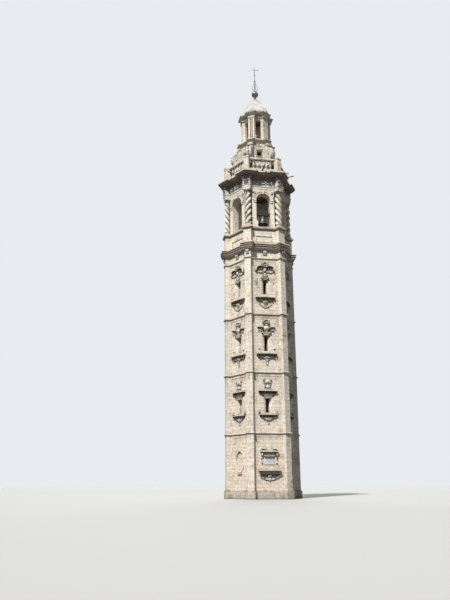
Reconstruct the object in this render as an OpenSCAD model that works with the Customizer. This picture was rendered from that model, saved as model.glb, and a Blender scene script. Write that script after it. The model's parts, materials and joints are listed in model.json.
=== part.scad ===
// A six-sided baroque bell tower as a scale model at half size, from the ground to the weather vane.
// The origin is at the middle of the foot, +Z is up, and the front face looks along -Y.
// Corners of the plan lie at 0, 60, 120 ... degrees from +X, and a face lies between each two of them.

/* [Plan of the shaft] */
// Distance from the axis to the outer face of a shaft wall
wall_face = 1670; // [1550:10:1800]
// Thickness of the walls of the shaft
wall_t = 500; // [350:10:600]
// How far a corner pilaster stands out beyond the corner of the walls
pilaster_out = 160; // [110:5:220]
// Width of the front of a corner pilaster
pilaster_w = 375; // [300:5:440]
// How far the plinth stands out from the walls and pilasters
plinth_out = 60; // [30:5:100]
// Width of the sunk panel in each wall of the shaft
panel_w = 1300; // [1270:10:1360]
// Depth of the sunk panel in each wall of the shaft
panel_d = 15; // [8:1:25]

/* [Heights of the shaft] */
// Height of the plinth
plinth_h = 450; // [300:10:700]
// Height of the walls of the first stage
stage_1_h = 2895; // [2700:5:3100]
// Height of the walls of the second stage
stage_2_h = 3190; // [3000:5:3400]
// Height of the walls of the third stage
stage_3_h = 3240; // [3000:5:3400]
// Height of the walls of the fourth stage
stage_4_h = 3300; // [3100:5:3500]
// Height of a string course
string_h = 100; // [70:5:140]
// How far a string course stands out
string_out = 60; // [30:5:90]
// Height of the frieze of the shaft, with its astragal
shaft_frieze_h = 490; // [400:10:600]
// Height of the cornice of the shaft
shaft_cornice_h = 450; // [350:5:500]
// How far the cornice of the shaft stands out
shaft_cornice_out = 215; // [150:5:280]
// Thickness of the floors inside the shaft
floor_t = 150; // [100:10:250]

/* [Windows of the shaft] */
// Width of a slit window
slit_w = 150; // [100:5:200]
// Width of the flared recess round a slit
recess_w = 680; // [600:10:760]
// Depth of the flared recess round a slit
recess_d = 170; // [110:5:220]
// Height of the slits of the second stage above the string course below them
slit_2_rise = 1040; // [1000:5:1090]
// Height of the slits of the second stage
slit_2_h = 765; // [720:5:800]
// Height of the slits of the third stage above the string course below them
slit_3_rise = 1150; // [1110:5:1190]
// Height of the slits of the third stage
slit_3_h = 880; // [840:5:910]
// Height of the slits of the fourth stage above the string course below them
slit_4_rise = 1155; // [1120:5:1190]
// Height of the slits of the fourth stage
slit_4_h = 860; // [820:5:890]
// Width of a balconet, a small bowed balcony under a window
balconet_w = 1170; // [1130:10:1200]
// How far a balconet stands out
balconet_out = 170; // [120:5:220]
// Gap between the top of a balconet and the slit above it
balconet_gap = 130; // [80:5:150]
// Width of a window hood
hood_w = 980; // [940:10:1040]
// How far a window hood stands out
hood_out = 130; // [100:5:180]
// Height of the balcony of the first stage above the plinth
balcony_rise = 1045; // [1000:5:1090]
// Width of a plaque of the first stage
plaque_w = 545; // [500:5:580]
// Height of a plaque of the first stage
plaque_h = 365; // [320:5:400]
// Thickness of a plaque of the first stage
plaque_t = 30; // [20:1:50]
// Width of an oval niche of the first stage
niche_w = 580; // [520:5:640]
// Height of an oval niche of the first stage
niche_h = 1045; // [980:5:1100]
// Depth of an oval niche of the first stage
niche_d = 40; // [25:5:60]

/* [Belfry] */
// Height of the pedestal course below the belfry
pedestal_h = 915; // [850:5:1060]
// Height of the sill course that the belfry stands on
belfry_sill_h = 220; // [160:5:280]
// How far the sill course of the belfry stands out
belfry_sill_out = 90; // [60:5:120]
// Height of the belfry floor below its sill course
parapet_h = 430; // [300:10:600]
// Thickness of the belfry walls
belfry_wall_t = 450; // [350:10:500]
// Width of an arched opening of the belfry
arch_w = 850; // [800:10:880]
// Height from the sill course to the springing of a belfry arch
arch_spring_h = 1750; // [1500:10:1900]
// Width of the archivolt round a belfry arch
archivolt_w = 160; // [130:5:170]
// How far the archivolt stands out from the wall
archivolt_out = 40; // [25:5:60]
// Height of the belfry from the sill course to its frieze
belfry_h = 2350; // [2250:10:2500]
// Radius of a twisted column
column_r = 215; // [190:5:230]
// How far the axis of a twisted column stands from the axis of the tower
column_axis = 1890; // [1860:5:1920]
// Rise of one whole turn of a twisted column, which has two strands
column_pitch = 800; // [640:10:960]
// Height of the frieze of the belfry
belfry_frieze_h = 850; // [700:10:950]
// Height of the cornice of the belfry
belfry_cornice_h = 330; // [280:5:400]
// How far the cornice of the belfry stands out
belfry_cornice_out = 360; // [300:5:420]
// How far the cornice of the belfry breaks forward at the corners
cornice_break = 150; // [120:5:180]
// Length of each side of a break of the cornice, from the corner of the walls
cornice_break_l = 230; // [200:10:280]

/* [Terrace] */
// Height of the terrace floor above the cornice of the belfry
terrace_h = 220; // [150:5:260]
// Height of the base rail of the balustrade
base_rail_h = 160; // [100:5:220]
// Height of a baluster
baluster_h = 585; // [450:5:700]
// Number of balusters on one side
baluster_count = 5; // [3:1:6]
// Largest radius of a baluster
baluster_r = 80; // [60:5:95]
// Height of the handrail
handrail_h = 125; // [90:5:160]
// Width of the rails of the balustrade
rail_w = 190; // [150:5:240]
// Width of a corner post of the balustrade
post_w = 310; // [250:10:380]

/* [Drum and lantern] */
// Distance from the axis to the outer face of a drum wall
drum_face = 935; // [880:5:980]
// Thickness of the drum walls
drum_wall_t = 200; // [150:10:260]
// Height of the drum above the terrace floor
drum_h = 2350; // [2200:10:2500]
// How far the great scroll of a volute stands from the axis
volute_reach = 1620; // [1560:10:1660]
// How far the neck of a volute stands from the axis
volute_neck = 1230; // [1200:5:1260]
// Thickness of a volute
volute_t = 330; // [280:10:360]
// Width of a drum window
drum_window_w = 325; // [250:5:400]
// Height of a drum window
drum_window_h = 305; // [250:5:400]
// Height of a drum window above the terrace floor
drum_window_rise = 1435; // [1300:5:1550]
// Height of the cornice of the drum
drum_cornice_h = 240; // [180:5:300]
// How far the cornice of the drum stands out
drum_cornice_out = 130; // [90:5:160]
// Distance from the axis to the outer face of a lantern wall
lantern_face = 770; // [740:5:800]
// Thickness of the lantern walls
lantern_wall_t = 150; // [110:5:200]
// Height of the blocking course that the lantern stands on
lantern_base_h = 195; // [140:5:260]
// Width of a lantern opening
lantern_arch_w = 375; // [330:5:385]
// Height of a lantern opening to the springing of its arch
lantern_spring_h = 1230; // [1100:10:1240]
// Height of the lantern piers
lantern_h = 1450; // [1400:10:1550]
// Width of the blocks on the corners of the lantern
lantern_block_w = 404; // [380:4:412]
// How far the blocks on the corners of the lantern stand from the axis
lantern_reach = 935; // [915:5:955]
// Radius of the colonnettes let into the corner blocks of the lantern
colonnette_r = 72; // [55:1:80]
// Height of the cornice of the lantern
lantern_cornice_h = 415; // [340:5:480]
// How far the cornice of the lantern stands out
lantern_cornice_out = 170; // [130:5:200]

/* [Dome and finial] */
// Height of the dome
dome_h = 1550; // [1400:10:1700]
// Distance from the axis to the corners at the foot of the dome
dome_r = 1040; // [980:5:1080]
// Height of the upright foot of the dome
dome_foot_h = 100; // [80:5:150]
// Thickness of the shell of the dome
dome_t = 100; // [70:5:140]
// Height of the neck under the ball
neck_h = 210; // [160:5:260]
// Radius of the ball
ball_r = 230; // [180:5:280]
// Height of the weather vane above the ball
vane_h = 1990; // [1700:10:2200]
// Radius of the rod of the weather vane
vane_rod_r = 18; // [12:1:24]

/* [Bell] */
// Height of the bell's axle above the sill course of the belfry
axle_rise = 880; // [840:10:1000]
// Radius of the bell at its mouth
bell_r = 300; // [240:5:310]
// Height of the bell from mouth to crown
bell_h = 560; // [480:10:600]
// Thickness of the bell at its lip
bell_t = 40; // [25:1:50]
// Width of the wooden headstock along the axle
headstock_w = 680; // [600:10:700]
// Depth of the wooden headstock
headstock_d = 200; // [160:10:240]
// Height of the wooden headstock above the axle
headstock_top = 240; // [180:10:320]
// Radius of the axle pins
pin_r = 30; // [20:1:35]
// Thickness of a bearing plate
bearing_t = 40; // [30:1:50]

/* [Hidden] */
$fn = 48;

// Colours of the finishes
stone = [0.85, 0.79, 0.70];
pale_stone = [0.90, 0.85, 0.77];
dark_stone = [0.62, 0.56, 0.48];
plaster = [0.93, 0.91, 0.86];
marble = [0.90, 0.91, 0.92];
copper = [0.45, 0.27, 0.18];
iron = [0.20, 0.21, 0.23];
bronze = [0.45, 0.38, 0.25];
oak = [0.28, 0.20, 0.14];

// Levels of the shaft
z_stage_1 = plinth_h;
z_string_1 = z_stage_1 + stage_1_h;
z_stage_2 = z_string_1 + string_h;
z_string_2 = z_stage_2 + stage_2_h;
z_stage_3 = z_string_2 + string_h;
z_string_3 = z_stage_3 + stage_3_h;
z_stage_4 = z_string_3 + string_h;
z_shaft_frieze = z_stage_4 + stage_4_h;
z_shaft_cornice = z_shaft_frieze + shaft_frieze_h;
z_pedestal = z_shaft_cornice + shaft_cornice_h;

// Levels of the belfry and of the terrace
z_belfry_sill = z_pedestal + pedestal_h;
z_belfry = z_belfry_sill + belfry_sill_h;
z_belfry_frieze = z_belfry + belfry_h;
z_belfry_cornice = z_belfry_frieze + belfry_frieze_h;
z_cornice_top = z_belfry_cornice + belfry_cornice_h;
z_terrace = z_cornice_top + terrace_h;
z_balusters = z_terrace + base_rail_h;
z_handrail = z_balusters + baluster_h;

// Levels of the drum, the lantern and the finial
z_drum_cornice = z_terrace + drum_h;
z_lantern_base = z_drum_cornice + drum_cornice_h;
z_lantern = z_lantern_base + lantern_base_h;
z_lantern_cornice = z_lantern + lantern_h;
z_dome = z_lantern_cornice + lantern_cornice_h;
z_neck = z_dome + dome_h;
z_ball = z_neck + neck_h + ball_r;
z_vane = z_ball + ball_r;

// Reaches along a corner of the plan
wall_corner = wall_face / cos(30);
panel_face = wall_face - panel_d;
pilaster_reach = wall_corner + pilaster_out;
inner_face = wall_face - wall_t;
belfry_inner_face = wall_face - belfry_wall_t;
column_block_w = 2 * column_r + 40;
column_block_reach = column_axis + column_r;
pocket_w = column_block_w + 20;
pocket_floor = column_axis - column_r;
drum_corner = drum_face / cos(30);
lantern_corner = lantern_face / cos(30);
// A joint as thin as a hair, where two pieces meet on a slanted plane
hair = 0.02;
far = 4 * wall_face;

// Six copies, one on each face: the child is drawn on the front face
module on_faces() {
    for (i = [0 : 5]) rotate(60 * i) children();
}

// Six copies, one on each corner: the child is drawn on the corner along +X
module on_corners() {
    for (i = [0 : 5]) rotate(60 * i) children();
}

// A six-sided outline whose sides lie at the given distance from the axis
module hexagon(face) {
    circle(r = face / cos(30), $fn = 6);
}

// The outline of the tower: six walls, with a block on each corner
module tower_outline(face, reach, width) {
    hexagon(face);
    on_corners() translate([0, -width / 2]) square([reach, width]);
}

// The four outer points of a course at one corner, with the moulding standing out by o
function corner_points(face, reach, width, o) =
    let (half = width / 2 + o, side_x = (face + o - half * sin(30)) / cos(30))
    [[side_x, -half], [reach + o, -half], [reach + o, half], [side_x, half]];

// The five outer points of a course at one corner where it follows both walls round the corner:
// it breaks forward over a length of each wall, which grows with the moulding
function wrapped_points(face, forward, length, o) =
    let (
        side_l = length + o * (1 + tan(30)),
        foot = [(face + o) / cos(30) - side_l * sin(30), side_l * cos(30)],
        step = forward * [cos(30), sin(30)],
        tip = (face + o + forward) / cos(30)
    )
    [[foot[0], -foot[1]], [foot[0] + step[0], -foot[1] - step[1]], [tip, 0], foot + step, foot];

// A point of the plan turned about the axis
function turned(p, a) = [p[0] * cos(a) - p[1] * sin(a), p[0] * sin(a) + p[1] * cos(a)];

// A course of moulded stone that runs round the walls and breaks forward round each corner block
module course(face, reach, width, profile, hollow_face) {
    ring_course([for (p = profile) [p[1], corner_points(face, reach, width, p[0])]], hollow_face);
}

// A course of moulded stone that runs round the walls and follows them round each corner, where it breaks forward
module wrapped_course(face, forward, length, profile, hollow_face) {
    ring_course([for (p = profile) [p[1], wrapped_points(face, forward, length, p[0])]], hollow_face);
}

// A solid ring from levels, each with its height and the outer points of one corner:
// its outer faces join one level to the next, and the hollow inside is six-sided
module ring_course(levels, hollow_face) {
    rings = len(levels);
    n = len(levels[0][1]);
    m = 6 * n;
    top = m * (rings - 1);
    low = m * rings;
    high = low + 6;
    hollow_r = hollow_face / cos(30);
    outer = [
        for (level = levels) for (i = [0 : 5]) for (c = level[1]) concat(turned(c, 60 * i), [level[0]])
    ];
    inner = [
        for (z = [levels[0][0], levels[rings - 1][0]]) for (i = [0 : 5])
            [hollow_r * cos(60 * i), hollow_r * sin(60 * i), z]
    ];
    sides = [
        for (k = [0 : rings - 2]) for (j = [0 : m - 1])
            [m * k + j, m * (k + 1) + j, m * (k + 1) + (j + 1) % m, m * k + (j + 1) % m]
    ];
    hollow_sides = [for (i = [0 : 5]) [low + (i + 1) % 6, high + (i + 1) % 6, high + i, low + i]];
    upper = [
        for (i = [0 : 5]) concat([high + i], [for (j = [n - 1 : -1 : 0]) top + n * i + j]),
        for (i = [0 : 5]) [high + i, high + (i + 1) % 6, top + (n * i + n) % m, top + n * i + n - 1]
    ];
    lower = [
        for (i = [0 : 5]) concat([low + i], [for (j = [0 : n - 1]) n * i + j]),
        for (i = [0 : 5]) [low + i, n * i + n - 1, (n * i + n) % m, low + (i + 1) % 6]
    ];
    polyhedron(concat(outer, inner), concat(sides, hollow_sides, upper, lower), convexity = 6);
}

// The profile of a cornice: a great quarter round that swells out from the wall, under a thin edge
function cornice_profile(out, h) =
    let (bed = 0.2 * out, swell = 0.68 * out)
    concat(
        [[bed, 0]],
        [for (a = [0 : 15 : 90]) [bed + swell * sin(a), 0.06 * h + 0.74 * h * (1 - cos(a))]],
        [[out, 0.84 * h], [out, h]]
    );

// The profile of an eave: an astragal under a long hollow that carries a thin edge
function eave_profile(out, h) =
    let (roll = 0.06 * h, start = 0.16 * out)
    concat(
        [[0, 0], [start, roll], [start, 2.5 * roll], [0.5 * start, 3 * roll]],
        [for (i = [1 : 4]) [
            0.5 * start + (0.9 * out - 0.5 * start) * (1 - cos(22.5 * i)),
            3 * roll + (0.84 * h - 3 * roll) * sin(22.5 * i)
        ]],
        [[out, 0.88 * h], [out, h]]
    );

// The profile of a string course: a plain face with a weathered top
function string_profile(out, h) = [[out * 0.6, 0], [out, h * 0.25], [out, h * 0.7], [0, h]];

// Moves each point of a profile up
function raised(profile, z) = [for (p = profile) [p[0], p[1] + z]];

// The unit vector along a curve at one of its points
function along(points, i) =
    let (a = points[max(i - 1, 0)], b = points[min(i + 1, len(points) - 1)]) (b - a) / norm(b - a);

// The point beside a curve at one of its points, at a distance to the left of it
function beside(points, i, d) = points[i] + d * [-along(points, i)[1], along(points, i)[0]];

// The outline of a band of one width that follows a curve
function band(points, w) = concat(
    [for (i = [0 : len(points) - 1]) beside(points, i, w / 2)],
    [for (i = [len(points) - 1 : -1 : 0]) beside(points, i, -w / 2)]
);

// Points of an ellipse from one angle to another
function arc_points(x, z, rx, rz, from, to, steps) = [
    for (i = [0 : steps]) let (a = from + (to - from) * i / steps) [x + rx * cos(a), z + rz * sin(a)]
];

// A full oval of the given width and height about the origin
module oval(w, h) {
    polygon(arc_points(0, 0, w / 2, h / 2, 0, 352, 44));
}

// The child and its mirror image on the other side of the middle of a face
module both_sides() {
    children();
    mirror([1, 0, 0]) children();
}

// A flat shape in relief on the sunk panel of the front wall, standing out from the wall's face
module relief(z, out) {
    translate([0, -panel_face, z]) rotate([90, 0, 0]) linear_extrude(panel_d + out) children();
}

// Walls between the corner pilasters, one to each face
module wall_panels(h) {
    linear_extrude(h) difference() {
        hexagon(wall_face);
        hexagon(inner_face);
        on_corners() translate([0, -pilaster_w / 2]) square([far, pilaster_w]);
    }
}

// One side of the flared recess round a slit, from its outer edge inward
function flare_points(side) = [
    for (a = [0 : 15 : 90]) [
        side * (slit_w / 2 + (recess_w - slit_w) / 2 * (1 - sin(a))),
        -panel_face + recess_d * (1 - cos(a))
    ]
];

// A flared recess, with a slit in its middle that goes right through the wall where it is pierced
module window_opening(z, h, pierced) {
    right = flare_points(1);
    translate([0, 0, z]) linear_extrude(h) union() {
        polygon(concat(
            [[-recess_w / 2, -wall_face - 1]],
            flare_points(-1),
            [for (i = [len(right) - 1 : -1 : 0]) right[i]],
            [[recess_w / 2, -wall_face - 1]]
        ));
        if (pierced) translate([-slit_w / 2, -wall_face - 1]) square([slit_w, wall_t + 2]);
    }
}

// The sunk panel of a wall of the shaft
module sunk_panel(h) {
    margin = 150;
    translate([-panel_w / 2, -wall_face - 1, margin / 2]) cube([panel_w, panel_d + 1, h - 1.5 * margin]);
}

// The walls of an upper stage: slits go through every other wall from the front, and the rest are blind
module stage_walls(h, slit_rise, slit_h) {
    difference() {
        wall_panels(h);
        for (i = [0 : 5]) rotate(60 * i) {
            sunk_panel(h);
            window_opening(slit_rise, slit_h, i % 2 == 0);
        }
    }
}

// The corner pilasters of one stage, each as deep as the walls
module stage_pilasters(h) {
    linear_extrude(h) difference() {
        on_corners() translate([0, -pilaster_w / 2]) square([pilaster_reach, pilaster_w]);
        hexagon(inner_face);
    }
}

// The plan of a balconet of the given width, with a bowed front
module bowed_plan(w, out) {
    polygon(concat(
        [[-w / 2, -panel_face]],
        [for (k = [-6 : 6]) [w * k / 12, -wall_face - out * (0.62 + 0.38 * cos(15 * k))]],
        [[w / 2, -panel_face]]
    ));
}

// A balconet: a slab on a body that tapers downward in steps; z is the top of the slab
module balconet(z, h) {
    widths = [1, 0.95, 0.82, 0.62];
    reaches = [1, 0.8, 0.6, 0.42];
    for (k = [0 : 3])
        translate([0, 0, z - (k + 1) * h / 4]) linear_extrude(h / 4)
            bowed_plan(widths[k] * balconet_w, reaches[k] * balconet_out);
}

// A drop: a slender ornament that hangs down and ends in a point; z is its top
module drop(z, w, h, out) {
    relief(z, out) polygon([[-w / 2, 0], [w / 2, 0], [0.35 * w, -0.55 * h], [0, -h], [-0.35 * w, -0.55 * h]]);
}

// A shell: a fan with a raised rim, standing on its flat side
module shell(z, r, out) {
    relief(z, 0.5 * out) intersection() {
        circle(r);
        translate([-r, 0]) square([2 * r, r]);
    }
    relief(z, out) polygon(band(arc_points(0, 0, 0.86 * r, 0.86 * r, 0, 180, 10), 0.24 * r));
    relief(z - 0.2 * r, out) translate([-r, 0]) square([2 * r, 0.2 * r]);
}

// A cartouche: an oval shield on a wider back
module cartouche(z, w, h, out) {
    relief(z, 0.6 * out) oval(w, h);
    relief(z, out) oval(0.66 * w, 0.66 * h);
}

// The ornament that narrows down to the top of a slit
module funnel(z, w, h, out) {
    relief(z, out) polygon([[-slit_w / 2 - 35, 0], [slit_w / 2 + 35, 0], [w / 2, h], [-w / 2, h]]);
}

// Surround of the second stage: a flat hood over a funnel, a shield above, and a balconet with scrolled ends
module surround_2() {
    slit_top = slit_2_rise + slit_2_h;
    slab = slit_2_rise - balconet_gap + 30;
    hood_z = slit_top + 370;
    funnel(slit_top, 0.86 * hood_w, 370, 0.45 * hood_out);
    relief(hood_z, hood_out) translate([-0.52 * hood_w, 0]) square([1.04 * hood_w, 70]);
    relief(hood_z + 70, 0.7 * hood_out) translate([-0.46 * hood_w, 0]) square([0.92 * hood_w, 40]);
    relief(hood_z + 110, 0.8 * hood_out) translate([-0.19 * hood_w, 0]) square([0.38 * hood_w, 90]);
    relief(hood_z + 200, 0.4 * hood_out) translate([-0.14 * hood_w, 0]) square([0.28 * hood_w, 160]);
    cartouche(hood_z + 460, 0.46 * hood_w, 240, 0.6 * hood_out);
    balconet(slab, 170);
    both_sides() relief(slab, 0.55 * balconet_out) {
        translate([0.42 * balconet_w, 60]) circle(60);
        translate([0.42 * balconet_w - 45, 0]) square([90, 180]);
    }
    relief(slab - 170, 0.4 * balconet_out)
        translate([-0.1 * balconet_w, -100]) square([0.2 * balconet_w, 100]);
    relief(slab - 270, 0.6 * balconet_out) polygon(arc_points(0, 0, 300, 170, 180, 360, 12));
    drop(slab - 440, 90, 190, 0.3 * balconet_out);
}

// Surround of the third stage: a shield between two flat arms, with a shell on top, and a balconet
module surround_3() {
    slit_top = slit_3_rise + slit_3_h;
    slab = slit_3_rise - balconet_gap;
    arm_z = slit_top + 430;
    funnel(slit_top, 0.5 * hood_w, 190, 0.4 * hood_out);
    both_sides() {
        relief(arm_z, hood_out) square([0.5 * hood_w, 75]);
        relief(arm_z - 60, 0.7 * hood_out) translate([0.3 * hood_w, 0]) square([0.16 * hood_w, 60]);
        relief(arm_z - 330, 0.4 * hood_out) translate([0.43 * hood_w, 60]) circle(62);
        relief(slit_3_rise + 110, 0.5 * hood_out) translate([0.37 * hood_w, 0]) square([120, 90]);
    }
    relief(slit_top + 190, 0.4 * hood_out) translate([-0.25 * hood_w, 0]) square([0.5 * hood_w, 60]);
    cartouche(slit_top + 430, 0.44 * hood_w, 400, 0.95 * hood_out);
    relief(arm_z + 75, 0.75 * hood_out) translate([-0.15 * hood_w, 0]) square([0.3 * hood_w, 130]);
    shell(arm_z + 250, 0.19 * hood_w, 0.95 * hood_out);
    balconet(slab, 260);
    relief(slab - 330, 0.45 * balconet_out) translate([-80, 0]) square([160, 70]);
    drop(slab - 330, 160, 330, 0.35 * balconet_out);
}

// Half of the hood of the fourth stage: a hump that ends in a scroll
module hump() {
    rise = 0.26 * hood_w;
    polygon(band(concat(
        [[0.44 * hood_w, -0.16 * hood_w], [0.48 * hood_w, -0.08 * hood_w]],
        arc_points(0.25 * hood_w, 0, 0.25 * hood_w, rise, 0, 172, 12)
    ), 0.07 * hood_w));
    translate([0.43 * hood_w, -0.16 * hood_w]) circle(0.065 * hood_w);
}

// Surround of the fourth stage: a hood of two humps with a shell, side drops, and a balconet with a swag
module surround_4() {
    slit_top = slit_4_rise + slit_4_h;
    slab = slit_4_rise - balconet_gap - 60;
    hood_z = slit_top + 590;
    funnel(slit_top, 0.42 * hood_w, 110, 0.4 * hood_out);
    relief(slit_top + 110, 0.4 * hood_out) translate([-0.1 * hood_w, 0]) square([0.2 * hood_w, 300]);
    relief(slit_top + 300, 0.7 * hood_out) oval(0.24 * hood_w, 260);
    both_sides() {
        relief(hood_z, hood_out) hump();
        relief(hood_z, 0.45 * hood_out) polygon(concat(
            arc_points(0.25 * hood_w, 0, 0.24 * hood_w, 0.25 * hood_w, 0, 180, 12),
            [[0, -0.2 * hood_w], [0.3 * hood_w, -0.13 * hood_w]]
        ));
        translate([0.5 * hood_w, 0, 0]) drop(slit_top + 110, 90, 380, 0.35 * hood_out);
    }
    relief(hood_z - 0.1 * hood_w, 0.9 * hood_out) oval(0.2 * hood_w, 0.36 * hood_w);
    shell(hood_z + 0.2 * hood_w, 0.16 * hood_w, 0.9 * hood_out);
    balconet(slab, 270);
    relief(slab - 270, 0.4 * balconet_out) polygon([
        [-0.16 * balconet_w, 0], [0.16 * balconet_w, 0], [0.08 * balconet_w, -170], [-0.08 * balconet_w, -170]
    ]);
    drop(slab - 440, 110, 250, 0.3 * balconet_out);
    relief(slab - 430, 0.25 * balconet_out) polygon(band([
        [-0.29 * balconet_w, 0], [-0.2 * balconet_w, -45], [-0.09 * balconet_w, -160],
        [0, -215], [0.09 * balconet_w, -160], [0.2 * balconet_w, -45], [0.29 * balconet_w, 0]
    ], 55));
}

// Height of a plaque above the plinth
plaque_rise = balcony_rise + 262;

// Front window of the first stage: a flat hood on brackets, a crest, a lintel, side scrolls and a balcony
module surround_1() {
    hood_z = plaque_rise + plaque_h + 275;
    relief(hood_z, 1.2 * hood_out) translate([-0.56 * hood_w, 0]) square([1.12 * hood_w, 75]);
    relief(hood_z + 75, 0.8 * hood_out) translate([-0.5 * hood_w, 0]) square([hood_w, 35]);
    relief(hood_z - 60, 0.7 * hood_out) translate([-0.5 * hood_w, 0]) square([hood_w, 60]);
    relief(hood_z - 210, 0.4 * hood_out) translate([-0.3 * hood_w, 0]) square([0.6 * hood_w, 150]);
    relief(hood_z - 210, 0.75 * hood_out) translate([-0.29 * hood_w, 0]) square([0.58 * hood_w, 45]);
    both_sides() {
        relief(hood_z - 210, 0.9 * hood_out) translate([0.4 * hood_w, 0]) square([0.1 * hood_w, 150]);
        relief(hood_z - 290, 0.35 * hood_out) {
            translate([0.4 * hood_w, 20]) circle(60);
            translate([0.4 * hood_w, -110]) circle(45);
            translate([0.37 * hood_w, -110]) square([0.06 * hood_w, 200]);
        }
        relief(hood_z + 110, 0.5 * hood_out) polygon(band(
            arc_points(0.28 * hood_w, 0, 0.2 * hood_w, 0.17 * hood_w, 15, 165, 8), 0.06 * hood_w));
        relief(hood_z + 110, 0.5 * hood_out) translate([0.45 * hood_w, 35]) circle(50);
    }
    relief(hood_z + 110, 0.5 * hood_out) translate([-0.12 * hood_w, 0]) square([0.24 * hood_w, 150]);
    relief(hood_z + 260, 0.5 * hood_out) polygon(arc_points(0, 0, 0.12 * hood_w, 0.1 * hood_w, 0, 180, 8));
    balcony(balcony_rise);
}

// The balcony of the first stage, with a carved corbel; z is its top
module balcony(z) {
    slab_t = 70;
    out = 1.5 * balconet_out;
    translate([-0.48 * balconet_w, -wall_face - out, z - slab_t])
        cube([0.96 * balconet_w, out + panel_d, slab_t]);
    translate([-0.46 * balconet_w, -wall_face - 0.8 * out, z - 2 * slab_t])
        cube([0.92 * balconet_w, 0.8 * out + panel_d, slab_t]);
    translate([-0.43 * balconet_w, -wall_face - 0.5 * out, z - 3.5 * slab_t])
        cube([0.86 * balconet_w, 0.5 * out + panel_d, 1.5 * slab_t]);
    relief(z - 3.5 * slab_t, 0.25 * out) polygon([
        [-0.42 * balconet_w, 0], [-0.4 * balconet_w, -120], [-0.28 * balconet_w, -190],
        [-0.2 * balconet_w, -330], [0, -400], [0.2 * balconet_w, -330],
        [0.28 * balconet_w, -190], [0.4 * balconet_w, -120], [0.42 * balconet_w, 0]
    ]);
}

// Height of the middle of an oval niche above the plinth
niche_mid = balcony_rise + niche_h / 2 - 100;

// The rim round an oval niche of the first stage, with a small sill below it
module niche_rim() {
    rim_w = 70;
    rim_out = 30;
    relief(niche_mid, rim_out) difference() {
        oval(niche_w + 2 * rim_w, niche_h + 2 * rim_w);
        oval(niche_w, niche_h);
    }
    relief(niche_mid - niche_h / 2 - 2 * rim_w, 2 * rim_out)
        translate([-niche_w / 3, 0]) square([niche_w / 1.5, 1.4 * rim_w]);
}

module plinth() {
    color(dark_stone) course(wall_face, pilaster_reach, pilaster_w,
        [[plinth_out, 0], [plinth_out, plinth_h - plinth_out], [0, plinth_h]], inner_face);
}

module stage_1_walls() {
    color(stone) translate([0, 0, z_stage_1]) difference() {
        wall_panels(stage_1_h);
        for (i = [0 : 5]) rotate(60 * i) {
            sunk_panel(stage_1_h);
            if (i % 2 == 1)
                translate([0, -panel_face + niche_d, niche_mid])
                    rotate([90, 0, 0]) linear_extrude(niche_d + panel_d + 1) oval(niche_w, niche_h);
        }
    }
}

module stage_2_walls() {
    color(stone) translate([0, 0, z_stage_2]) stage_walls(stage_2_h, slit_2_rise, slit_2_h);
}

module stage_3_walls() {
    color(stone) translate([0, 0, z_stage_3]) stage_walls(stage_3_h, slit_3_rise, slit_3_h);
}

module stage_4_walls() {
    color(stone) translate([0, 0, z_stage_4]) stage_walls(stage_4_h, slit_4_rise, slit_4_h);
}

module stage_1_pilasters() { color(pale_stone) translate([0, 0, z_stage_1]) stage_pilasters(stage_1_h); }
module stage_2_pilasters() { color(pale_stone) translate([0, 0, z_stage_2]) stage_pilasters(stage_2_h); }
module stage_3_pilasters() { color(pale_stone) translate([0, 0, z_stage_3]) stage_pilasters(stage_3_h); }
module stage_4_pilasters() { color(pale_stone) translate([0, 0, z_stage_4]) stage_pilasters(stage_4_h); }

module stage_1_windows() {
    color(pale_stone) translate([0, 0, z_stage_1]) for (i = [0 : 5]) rotate(60 * i) {
        if (i % 2 == 0) surround_1();
        else niche_rim();
    }
}

module stage_2_windows() { color(pale_stone) translate([0, 0, z_stage_2]) on_faces() surround_2(); }
module stage_3_windows() { color(pale_stone) translate([0, 0, z_stage_3]) on_faces() surround_3(); }
module stage_4_windows() { color(pale_stone) translate([0, 0, z_stage_4]) on_faces() surround_4(); }

// Plain plaques between the hood and the balcony, one on every other wall from the front
module stage_1_plaques() {
    color(marble) translate([0, 0, z_stage_1]) for (i = [0 : 2 : 4]) rotate(60 * i)
        translate([-plaque_w / 2, -panel_face - plaque_t, plaque_rise])
            cube([plaque_w, plaque_t, plaque_h]);
}

module string_courses() {
    color(pale_stone) for (z = [z_string_1, z_string_2, z_string_3])
        translate([0, 0, z])
            course(wall_face, pilaster_reach, pilaster_w, string_profile(string_out, string_h), inner_face);
}

// The ground floor, the floors at the string courses and the floor of the belfry
module floors() {
    belfry_floor_z = z_belfry - parapet_h - floor_t;
    color(dark_stone) {
        for (z = [0, z_string_1, z_string_2, z_string_3])
            translate([0, 0, z]) linear_extrude(floor_t) hexagon(inner_face);
        translate([0, 0, belfry_floor_z]) linear_extrude(floor_t) hexagon(belfry_inner_face);
    }
}

module shaft_frieze() {
    color(stone) translate([0, 0, z_shaft_frieze])
        course(wall_face, pilaster_reach, pilaster_w, concat(
            raised(string_profile(string_out, string_h), 0),
            [[0, shaft_frieze_h]]), inner_face);
}

// Scrolled bracket blocks under the cornice, one to each pilaster and one to each face
module shaft_brackets() {
    block_w = 190;
    block_h = 240;
    block_out = 110;
    color(pale_stone) translate([0, 0, z_shaft_cornice - block_h]) {
        on_faces() translate([0, -wall_face - hair, 0]) bracket(block_w, block_h, block_out);
        on_corners() translate([pilaster_reach + hair, 0, 0]) rotate(90) bracket(block_w, block_h, block_out);
    }
}

// A bracket whose foot rolls back to the wall
module bracket(w, h, out) {
    translate([w / 2, 0, 0]) rotate([90, 0, -90]) linear_extrude(w) polygon(concat(
        [[0, h], [0, 0]],
        arc_points(0.3 * out, 0.2 * h, 0.3 * out, 0.2 * h, 270, 360, 4),
        arc_points(0.6 * out, 0.7 * h, 0.4 * out, 0.3 * h, 270, 360, 4),
        [[out, h]]
    ));
}

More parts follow.
